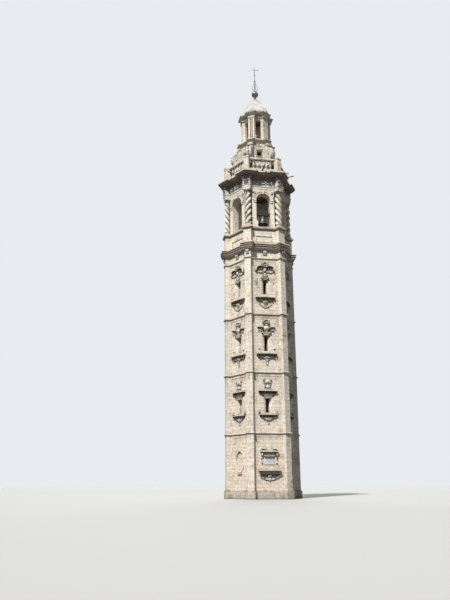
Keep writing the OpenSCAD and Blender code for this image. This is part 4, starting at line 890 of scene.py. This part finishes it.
def frame_mould(half_w, low, high, width, out):
    """A picture-frame moulding on a face that looks along -Y: rounded, with a sunk inner edge."""
    section = ((0.0, 4.0), (0.0, -0.55 * out), (0.22 * width, -out), (0.55 * width, -0.9 * out),
               (0.8 * width, -0.45 * out), (width, -0.4 * out), (width, 4.0))
    rows = []
    for inward, y in section:
        a, b, c = half_w - inward, low + inward, high - inward
        rows += [(-a, y, b), (a, y, b), (a, y, c), (-a, y, c)]
    return np.array(rows), ring_faces(len(section), 4, loop=True)


def corner_line(face, reach, width, o):
    """The outer points of a course at the corner along +X, standing out by o, as in the part's source."""
    half = width / 2 + o
    side_x = (face + o - half * 0.5) / COS_30
    return [(side_x, -half), (reach + o, -half), (reach + o, half), (side_x, half)]


def wrapped_line(face, forward, length, o):
    """The outer points of a course that follows both walls round the corner along +X."""
    side = length + o * (1 + TAN_30)
    foot = ((face + o) / COS_30 - side * 0.5, side * COS_30)
    step = (foot[0] + forward * COS_30, foot[1] + forward * 0.5)
    return [(foot[0], -foot[1]), (step[0], -step[1]), ((face + o + forward) / COS_30, 0.0), step, foot]


belfry_line = partial(wrapped_line, WALL_FACE, 150, 230)
shaft_line = partial(corner_line, WALL_FACE, PILASTER_REACH, PILASTER_W)
drum_line = partial(corner_line, DRUM_FACE, DRUM_FACE / COS_30 + 10, 330)
lantern_line = partial(corner_line, LANTERN_FACE, LANTERN_REACH, 404)


def moulding(line, section):
    """A bead that runs round the tower: line gives a corner's points for a distance out,
    and section is a closed loop of (distance out, level)."""
    rows = []
    for o, z in section:
        for angle in FACES:
            c, s = cos(radians(angle)), sin(radians(angle))
            rows += [(x * c - y * s, x * s + y * c, z) for x, y in line(o)]
    return np.array(rows), ring_faces(len(section), len(rows) // len(section), loop=True)


def bead(o, z, r):
    """A round section for a moulding."""
    angles = [2 * pi * k / 6 for k in range(6)]
    return [(o + r * cos(a), z - r * sin(a)) for a in angles]


def fillet(o, low, high, out):
    """A square-edged strip for a moulding, let 6 mm into the course."""
    return [(o + out, high), (o + out, low), (o - 6, low), (o - 6, high)]


# The twisted columns of the belfry

def capital(r, foot, top):
    """A leafy capital with scrolls under a hollow-sided abacus."""
    h = top - foot
    shapes = [lathe([(0.84 * r, foot - 14), (0.9 * r, foot), (0.84 * r, foot + 14), (0.68 * r, foot + 16),
                     (0.66 * r, foot + 0.5 * h), (0.78 * r, top - 0.26 * h), (0.86 * r, top - 0.2 * h)], 20)]
    for k in range(8):
        shapes += [spun(moved(curled_leaf(0.52 * r, 0.36 * h), 0.68 * r, 0, foot + 14), 45 * k),
                   spun(moved(curled_leaf(0.50 * r, 0.60 * h), 0.66 * r, 0, foot + 14), 45 * k + 22.5)]
    curl = [(0.82 * r + u, 0.0, top - 0.30 * h + v) for u, v in spiral(0.2 * r, 1.4, 16, 80, -1, 0.75)]
    boss = moved(block(0.06 * r, 0.14 * r, top - 0.24 * h, top - 0.02 * h, 4), 0.93 * r)
    for k in range(4):
        shapes += [spun(tube(curl, 0.075 * r, 6), 45 + 90 * k), spun(boss, 90 * k)]
    folded = (round_angles(32) + pi / 4) % (pi / 2) - pi / 4
    square = 1 / np.cos(folded)
    # 0 at the middle of a side and 1 at a corner of the square
    past_side = (square - 1) / 0.4142
    abacus = r * 0.985 * (0.84 + 0.16 * past_side ** 1.2) * square
    steps = ((0.9, 0.2), (0.9, 0.11), (0.95, 0.09), (0.95, 0))
    shapes.append(lathe([(abacus * share, top - down * h) for share, down in steps], 32))
    return joined(shapes)


def belfry_column(hand):
    r, foot, top = COLUMN_R, Z_BELFRY, Z_BELFRY_FRIEZE
    base = [(0.96, 62), (1, 74), (1, 92), (0.93, 102), (0.84, 108), (0.80, 122), (0.84, 134),
            (0.92, 140), (0.94, 150), (0.90, 160), (0.74, 172), (0.6, 180)]
    return joined([
        block(r, r, foot, foot + 62, 7),
        lathe([(share * r, foot + z) for share, z in base], 32),
        twisted(r, foot + 166, top - 262, 1.5 * COLUMN_PITCH, hand, 48, 90, 0.44, 100),
        capital(r, top - 258, top),
    ])


columns = on_corners(belfry_column, COLUMN_REACH - COLUMN_R)
piece("twisted_columns", columns, "carved_stone", "belfry_columns", paint="column_stone")


# The ornament of the belfry walls: spandrels, frieze, dentils and the beads of the cornices

def spandrels():
    c = Carving(690, 1560, 2346, 13.0)
    springing, radius, half_width = 1750, 600, 26
    across = (np.hypot(c.x, c.z - springing) - radius) / half_width
    c.raise_to(52 * np.sqrt(np.clip(1 - across ** 2, 0, 1)) * (c.z > springing))
    c.leaf(478, 2146, 52, 205, 64, 70)
    c.leaf(540, 2096, 106, 190, 56, 62)
    c.leaf(430, 2196, 10, 215, 54, 64)
    c.leaf(590, 2060, -82, 230, 46, 56)
    c.scroll(566, 2256, 56, 66, 1, 90)
    c.boss(508, 2156, 62, 58, 80, petals=7)
    c.slab(170, 2246, 2290, 40)
    c.slab(205, 2292, 2318, 56)
    return c.mesh()


def frieze_carving():
    c = Carving(672, 300, 700, 13.0)
    for x in (190, 560):
        c.boss(x, 590, 70, 74, 74, petals=8)
        c.leaf(x, 540, -90, 190, 44, 46)
        c.leaf(x, 600, 35, 120, 34, 40)
    for near, far in ((-190, 190), (190, 560)):
        c.swag(near, 590, far, 590, 105, 46, 66, beads=7)
        c.boss((near + far) / 2, 610, 46, 42, 48, petals=6)
    return c.mesh()


def block_carving():
    """The carving on the corner blocks of the frieze."""
    c = Carving(196, 296, 640, 12.0)
    c.boss(0, 460, 100, 104, 80, petals=8)
    c.boss(0, 460, 44, 46, 100)
    c.leaf(70, 520, 30, 110, 54, 62)
    c.scroll(128, 372, 48, 66, 1, 90)
    c.leaf(0, 390, -90, 84, 60, 60)
    return c.mesh()


dentil = block(26, 30, Z_BELFRY_FRIEZE + 596, Z_BELFRY_FRIEZE + 662, 5)
ornament = [on_faces(spandrels(), WALL_FACE, Z_BELFRY),
            on_faces(frieze_carving(), WALL_FACE, Z_BELFRY_FRIEZE)]
ornament += [on_faces(dentil, WALL_FACE + 26, x=k * 90) for k in range(-7, 8)]
ornament += [on_faces(dentil, COLUMN_REACH + 26, x=k * 90, angles=CORNERS) for k in range(-2, 3)]
piece("belfry_ornament", joined(ornament), "stained_stone", paint="frieze_carving")

block_carvings = on_faces(block_carving(), COLUMN_REACH, Z_BELFRY_FRIEZE, angles=CORNERS)
piece("frieze_block_carvings", block_carvings, "stained_stone", paint="block_stone")

beads = [moulding(belfry_line, bead(o, Z_BELFRY_CORNICE + z, 15))
         for o, z in ((150, 42), (245, 104), (318, 186))]
beads += [moulding(shaft_line, fillet(o, Z_SHAFT_CORNICE + low, Z_SHAFT_CORNICE + high, 18))
          for o, low, high in ((96, 52, 84), (158, 150, 186), (196, 262, 296))]
piece("cornice_beads", joined(beads), "stained_stone")

rims = joined([
    moulding(belfry_line, fillet(360, Z_BELFRY_CORNICE + 242, Z_BELFRY_CORNICE + 322, 9)),
    moulding(shaft_line, fillet(215, Z_SHAFT_CORNICE + 387, Z_SHAFT_CORNICE + 443, 9)),
])
piece("cornice_rims", rims, "stained_stone", paint="pale_edge")

panels = joined([
    on_faces(frame_mould(508, Z_PEDESTAL + 127, Z_PEDESTAL + 532, 34, 16), WALL_FACE),
    on_faces(frame_mould(205, 1392, 1782, 40, 44), DRUM_FACE, Z_TERRACE),
    on_faces(frame_mould(180, 1925, 2150, 30, 36), DRUM_FACE + 10, Z_TERRACE),
])
piece("panel_frames", panels, "dressed_stone")


# The balustrade, the volutes and the colonnettes

def baluster():
    r, h = 80.0, 585.0
    profile = [(0, 0.94), (0.07, 0.94), (0.08, 0.78), (0.1, 0.74), (0.13, 0.82), (0.15, 0.7), (0.17, 0.58),
               (0.21, 0.62), (0.26, 0.8), (0.31, 0.94), (0.36, 1), (0.41, 0.96), (0.47, 0.82), (0.53, 0.66),
               (0.6, 0.53), (0.68, 0.45), (0.76, 0.42), (0.79, 0.44), (0.8, 0.6), (0.82, 0.66), (0.84, 0.6),
               (0.86, 0.58), (0.9, 0.74), (0.92, 0.94), (1, 0.94)]
    return lathe([(r * q, h * t) for t, q in profile], 20)


# Five to a side on the middle line of the rail, between the corner posts
rail_line = WALL_FACE - 20 - 95
between_posts = 2 * rail_line * TAN_30 - 310
pitch = between_posts / 5.6
balusters = [on_faces(baluster(), rail_line, Z_BALUSTERS, x=k * pitch) for k in range(-2, 3)]
piece("turned_balusters", joined(balusters), "dressed_stone", "balusters", paint="pale_carving")


def volute():
    """A scrolled buttress along +X, with channels along its rim and scrolls on its cheeks."""
    great = gx, gz, grx, grz = 1340.0, 0.63 * DRUM_H, 280.0, 0.18 * DRUM_H
    small = sx, sz, srx, srz = 1120.0, 0.935 * DRUM_H, 145.0, 0.065 * DRUM_H
    foot, head = 2.0, DRUM_H - 1
    line = np.array([
        (860.0, foot), (gx + 0.5 * grx, foot), *arc(*great, -60, 78, 26),
        (1262.0, 0.815 * DRUM_H), (1236.0, 0.835 * DRUM_H), (1230.0, 0.86 * DRUM_H),
        *arc(*small, -50, 60, 12), (1085.0, head), (860.0, head),
    ])
    along = np.roll(line, -1, 0) - np.roll(line, 1, 0)
    along = along / np.maximum(np.linalg.norm(along, axis=1), 1e-6)[:, None]
    outward = np.stack([along[:, 1], -along[:, 0]], 1)
    # The two points of the foot and the two of the head stay flat
    outward[[0, 1, -2, -1]] = 0.0
    section = ((-165, -16), (-152, 0), (-126, 0), (-114, -16), (-76, -12), (-58, 6), (0, 12),
               (58, 6), (76, -12), (114, -16), (126, 0), (152, 0), (165, -16))
    rows = [(x, y, z) for y, out in section for x, z in line + outward * out]
    shapes = [(np.array(rows), ring_faces(len(section), len(line)))]

    def on_cheek(side, x, z, points):
        return [(x + u, side * 166.0, z + v) for u, v in points]

    for side in (1, -1):
        curl = on_cheek(side, gx, gz, spiral(0.90 * grx, 1.9, 46, -70, 1, 0.80, grz / grx))
        shapes.append(tube(curl, [20 - 9 * k / 46 for k in range(47)], 6))
        curl = on_cheek(side, sx, sz, spiral(0.84 * srx, 1.4, 26, -60, 1, 0.74, srz / srx))
        shapes.append(tube(curl, [15 - 6 * k / 26 for k in range(27)], 6))
        for cx, cz, q in ((gx, gz, 0.17 * grx), (sx, sz, 0.22 * srx)):
            p, faces = lathe([(q, -6), (q, 22), (0.86 * q, 38), (0.5 * q, 50), (0.05 * q, 54)], 14)
            shapes.append((np.stack([p[:, 0] + cx, side * (160 + p[:, 2]), p[:, 1] + cz], 1), faces))
        rib = on_cheek(side, 1180, 60, [(70 * sin(pi * t), 980 * t) for t in np.linspace(0, 1, 14)])
        shapes.append(tube(rib, 16.0, 6))
    for angle in range(-40, 57, 24):
        c, s = cos(radians(angle)), sin(radians(angle))
        p, faces = curled_leaf(150, 150)
        tilted = np.stack([p[:, 0] * c - p[:, 2] * s, p[:, 1], p[:, 0] * s + p[:, 2] * c], 1)
        shapes.append(moved((tilted, faces), gx + (grx - 12) * c, 0, gz + (grz - 12) * s))
    return moved(joined(shapes), z=Z_TERRACE)


piece("scrolled_volutes", all_round(volute()), "carved_stone", "drum_volutes", paint="volute_stone")


def colonnette(hand):
    r, foot, top = COLONNETTE_R, Z_LANTERN, Z_LANTERN_CORNICE
    profile = [(r, 0), (r, 34), (0.9 * r, 40), (0.8 * r, 48), (0.95 * r, 60), (0.97 * r, 72), (0.9 * r, 84),
               (0.7 * r, 92), (0.66 * r, 112)]
    shapes = [lathe([(q, end + way * t) for q, t in profile][::way], 18)
              for end, way in ((foot, 1), (top, -1))]
    shapes.append(twisted(r, foot + 104, top - 104, 0.6 * COLUMN_PITCH, hand, 24, 62, 0.40))
    return joined(shapes)


colonnettes = on_corners(colonnette, LANTERN_REACH - 0.7 * COLONNETTE_R)
piece("twisted_colonnettes", colonnettes, "carved_stone", "lantern_columns", paint="column_stone")


# The ornament of the drum's and the lantern's cornices, and the rims of the arches and niches

def eave_carving():
    c = Carving(250, 150, 395, 9.0)
    c.boss(0, 265, 62, 66, 96, petals=8)
    c.leaf(40, 262, 8, 170, 44, 84)
    c.boss(205, 262, 36, 40, 92)
    return c.mesh()


small_dentil = block(17, 20, Z_LANTERN_CORNICE + 96, Z_LANTERN_CORNICE + 146, 4)
eaves = [on_faces(small_dentil, LANTERN_FACE + 60, x=k * 58) for k in range(-4, 5)]
eaves.append(on_faces(eave_carving(), LANTERN_FACE + 14, Z_LANTERN_CORNICE))
eaves += [moulding(lantern_line, bead(o, Z_LANTERN_CORNICE + z, 11)) for o, z in ((36, 60), (164, 368))]
eaves += [moulding(drum_line, bead(o, Z_DRUM_CORNICE + z, 9)) for o, z in ((26, 36), (122, 212))]
piece("eave_ornament", joined(eaves), "stained_stone", paint="frieze_carving")


def oval_rim(half_w, half_h, width, out):
    """A rounded moulding round an oval opening, on a face that looks along -Y."""
    section = ((width, 4.0), (0.92 * width, -0.6 * out), (0.6 * width, -out), (0.3 * width, -0.9 * out),
               (0.05 * width, -0.5 * out), (0.0, 4.0))
    angles = [2 * pi * k / 40 for k in range(40)]
    rows = [((half_w + grow) * cos(a), y, (half_h + grow) * sin(a))
            for grow, y in section for a in angles]
    return np.array(rows), ring_faces(len(section), 40, loop=True)


def arch_rim(r_in, r_out, out):
    """A moulding round the head of an arch, on a face that looks along -Y."""
    section = ((r_in, 4.0), (r_in, -0.7 * out), (r_in + 6, -out),
               (r_out - 6, -out), (r_out, -0.7 * out), (r_out, 4.0))
    angles = [pi * k / 16 for k in range(17)]
    rows = [(r * cos(a), y, r * sin(a)) for a in angles for r, y in section]
    return np.array(rows), ring_faces(len(angles), len(section))


niche_rims = on_faces(oval_rim(290, 522, 66, 40), PANEL_FACE, STAGE_FOOT[1] + 1467, angles=NICHES)
piece("niche_rims", niche_rims, "dressed_stone")
arch_rims = joined([
    on_faces(arch_rim(187.5, 214.0, 20.0), LANTERN_FACE, Z_LANTERN + 1230),
    on_faces(arch_rim(425.0, 452.0, 58.0), WALL_FACE, Z_BELFRY + 1750),
])
piece("arch_rims", arch_rims, "dressed_stone")


# The dome, the ball and the vane

def smooth_dome():
    """The six-sided dome with soft rolls along its corners, closed inside by its own shell."""
    eave_r, foot, rise, per_side = 1040.0, 100, 1450, 8

    def radius(t):
        return eave_r * (1 - 0.885 * t ** 1.8)

    levels = [(eave_r, 0.0), (eave_r, 52.0), (1062.0, 58.0), (1064.0, 76.0), (1042.0, 84.0), (eave_r, 100.0)]
    straight = len(levels)
    levels += [(radius(k / 34), foot + rise * k / 34) for k in range(1, 35)]
    outside = len(levels)
    levels += [(max(14.0, radius(k / 16) - 100), foot + 1350 * k / 16) for k in range(16, -1, -1)]
    levels.append((940.0, 0.0))
    rows = []
    for index, (r, z) in enumerate(levels):
        for angle in FACES:
            a, b = radians(angle), radians(angle + 60)
            for k in range(per_side):
                u = k / per_side
                swell = 1.0
                if straight <= index < outside:
                    swell += 0.012 * sin(pi * u) + (0.010 if k == 0 else 0.0)
                x = r * ((1 - u) * cos(a) + u * cos(b))
                y = r * ((1 - u) * sin(a) + u * sin(b))
                rows.append((x * swell, y * swell, z))
    return moved((np.array(rows), ring_faces(len(levels), 6 * per_side, loop=True)), z=Z_DOME)


piece("smooth_dome", smooth_dome(), "dome_plaster", "dome")


def ball_and_neck():
    """The ball, with a raised seam round its middle, on a moulded neck."""
    r, seam, middle = 228, 3.5, Z_NECK + 440
    neck = [(100, 0), (100, 26), (92, 36), (96, 50), (100, 66), (86, 80), (64, 92), (60, 120), (66, 146),
            (88, 150), (92, 164), (88, 178), (66, 184)]
    profile = [(q, Z_NECK + z) for q, z in neck]
    for k in range(4, 36):
        a = radians(-90 + 180 * k / 38)
        profile.append((r * cos(a) + (seam if k == 19 else 0), middle + r * sin(a)))
    profile += [(40, middle + 222), (4, middle + 222)]
    return lathe(profile, 44)


piece("ball_and_neck", ball_and_neck(), "aged_copper", "finial_ball")


def vane():
    foot, top = Z_VANE - VANE_SEAT, Z_VANE + VANE_H
    shapes = [lathe([(58, foot), (58, foot + 18), (44, foot + 26), (26, foot + 60), (17, foot + 110),
                     (17, foot + 700), (15, top - 500), (11, top - 60), (4, top)], 12)]
    for share, r, tall in ((0.42, 44, 78), (0.66, 44, 44), (0.80, 24, 24)):
        knot = arc(0, Z_VANE + share * VANE_H, r, tall, -80, 80, 10)
        shapes.append(lathe([(max(12, q), z) for q, z in knot], 16))
    leg = [(40, 20), (84, 36), (128, 76), (165, 130), (186, 205), (188, 290), (172, 370), (142, 445),
           (110, 520), (82, 600), (54, 690), (30, 780), (14, 850)]
    curl = [(120 + u, 150 + v) for u, v in spiral(46, 1.2, 16, -100, 1, 0.7)]
    scrolls = [tube([(x, 0, Z_VANE + z) for x, z in path], r, 6) for path, r in ((leg, 10), (curl, 7))]
    shapes.append(all_round(joined(scrolls), range(0, 360, 90)))
    z = Z_VANE + 0.86 * VANE_H + 17
    shapes.append(tube([(-196, 0, z), (196, 0, z)], 11, 8))
    for x, r in ((-200, 20), (196, 16)):
        knob = lathe([(4, -r), (r * 0.8, -r * 0.6), (r, 0), (r * 0.8, r * 0.6), (4, r)], 10)
        shapes.append(moved(knob, x, 0, z))
    shapes.append(tube([(200, 0, z), (238, 0, z), (286, 0, z)], [12, 30, 2], 8))
    return joined(shapes)


piece("vane_rod_and_scrolls", vane(), "wrought_iron", "weather_vane")


# The bell

def cast_bell():
    """The bell with its moulding rings and the loops of its crown."""
    r, h, crown = 300.0, 560.0, Z_AXLE - 90
    outer = [(1, 0), (1, 0.035), (0.985, 0.055), (0.955, 0.075), (0.93, 0.1), (0.905, 0.13), (0.86, 0.175),
             (0.82, 0.225), (0.835, 0.235), (0.815, 0.25), (0.78, 0.3), (0.74, 0.36), (0.7, 0.43),
             (0.675, 0.5), (0.65, 0.57), (0.635, 0.64), (0.65, 0.655), (0.65, 0.67), (0.625, 0.685),
             (0.615, 0.75), (0.625, 0.765), (0.6, 0.785), (0.575, 0.82), (0.53, 0.86), (0.45, 0.89),
             (0.31, 0.915), (0.3, 0.94), (0.3, 1), (0.02, 1)]
    inner = [(0.02, 0.84), (0.36, 0.81), (0.47, 0.76), (0.52, 0.70), (0.54, 0.58), (0.57, 0.46), (0.65, 0.30),
             (0.75, 0.17), (0.86, 0.06), (0.94, 0.0)]
    bell = lathe([(r * q, crown - h + h * t) for q, t in outer + inner], 48, loop=True)
    loop = [(x, 0, z) for x, z in arc(52, crown - 34, 46, 40, -80, 260, 17)]
    return moved(joined([bell, all_round(tube(loop, 13, 8))]), 0, BELL_Y)


piece("cast_bell", cast_bell(), "bell_bronze", "bell", body="bell")
straps = [moved(block(22, 106, Z_AXLE - 96, Z_AXLE + 246, 4), x, BELL_Y) for x in (-190, 190)]
piece("headstock_straps", joined(straps), "wrought_iron", body="bell")


# Floor, light and camera

reach = 120.0
corners = [(-reach, -reach, 0), (reach, -reach, 0), (reach, reach, 0), (-reach, reach, 0)]
floor_mesh = bpy.data.meshes.new("floor")
floor_mesh.from_pydata(corners, [], [(0, 1, 2, 3)])
t = new_material("floor_paint")
t.surface({"Base Color": t.mix(t.seen(), srgb(88, 88, 88), srgb(178, 177, 174)), "Roughness": 0.9})
floor_mesh.materials.append(MATERIALS["floor_paint"])
floor = placed("floor", floor_mesh)

world = bpy.data.worlds.new("studio")
bpy.context.scene.world = world
t = Tree(world, "ShaderNodeOutputWorld")
soft = t.node("ShaderNodeBackground", {"Color": (0.80, 0.91, 1.0, 1), "Strength": 0.22})
backdrop = t.node("ShaderNodeBackground", {"Color": srgb(232, 236, 240), "Strength": 1.0})
blend = t.node("ShaderNodeMixShader", {0: t.seen(), 1: soft.outputs[0], 2: backdrop.outputs[0]})
t.put(t.out, blend.outputs[0])


def sun_lamp(name, energy, spread, colour, azimuth, height):
    """A distant lamp, with its spread and the direction that it shines from in degrees."""
    data = bpy.data.lights.new(name, "SUN")
    data.energy = energy
    data.angle = radians(spread)
    data.color = colour
    azimuth, height = radians(azimuth), radians(height)
    towards = Vector((cos(azimuth) * cos(height), sin(azimuth) * cos(height), sin(height)))
    placed(name, data).rotation_euler = towards.to_track_quat("Z", "Y").to_euler()


sun_lamp("key", 4.8, 4, (1.0, 0.98, 0.95), 236, 52)
# A soft lamp from behind lights the three sides that the key leaves dark
sun_lamp("fill", 1.5, 50, (0.92, 0.96, 1.0), 80, 22)

# The photograph's viewpoint, in metres and degrees
EYE = (-7.488, -33.863, 0.8)
HEADING = (0.1573, 0.9875, 0.0)
PITCH = 17.009
ROLL = -0.214

camera_data = bpy.data.cameras.new("camera")
camera_data.lens = 36.0
camera_data.sensor_width = 36.0
camera_data.clip_end = 1000.0
camera = placed("camera", camera_data)
pitch, roll = radians(PITCH), radians(ROLL)
heading = Vector(HEADING).normalized()
forward = heading * cos(pitch) + Vector((0, 0, sin(pitch)))
right = Vector((heading.y, -heading.x, 0.0))
up = right.cross(forward)
right, up = right * cos(roll) + up * sin(roll), up * cos(roll) - right * sin(roll)
camera.matrix_world = Matrix.Translation(EYE) @ Matrix((right, up, -forward)).transposed().to_4x4()
bpy.context.scene.camera = camera
bpy.context.scene.view_settings.view_transform = "Standard"
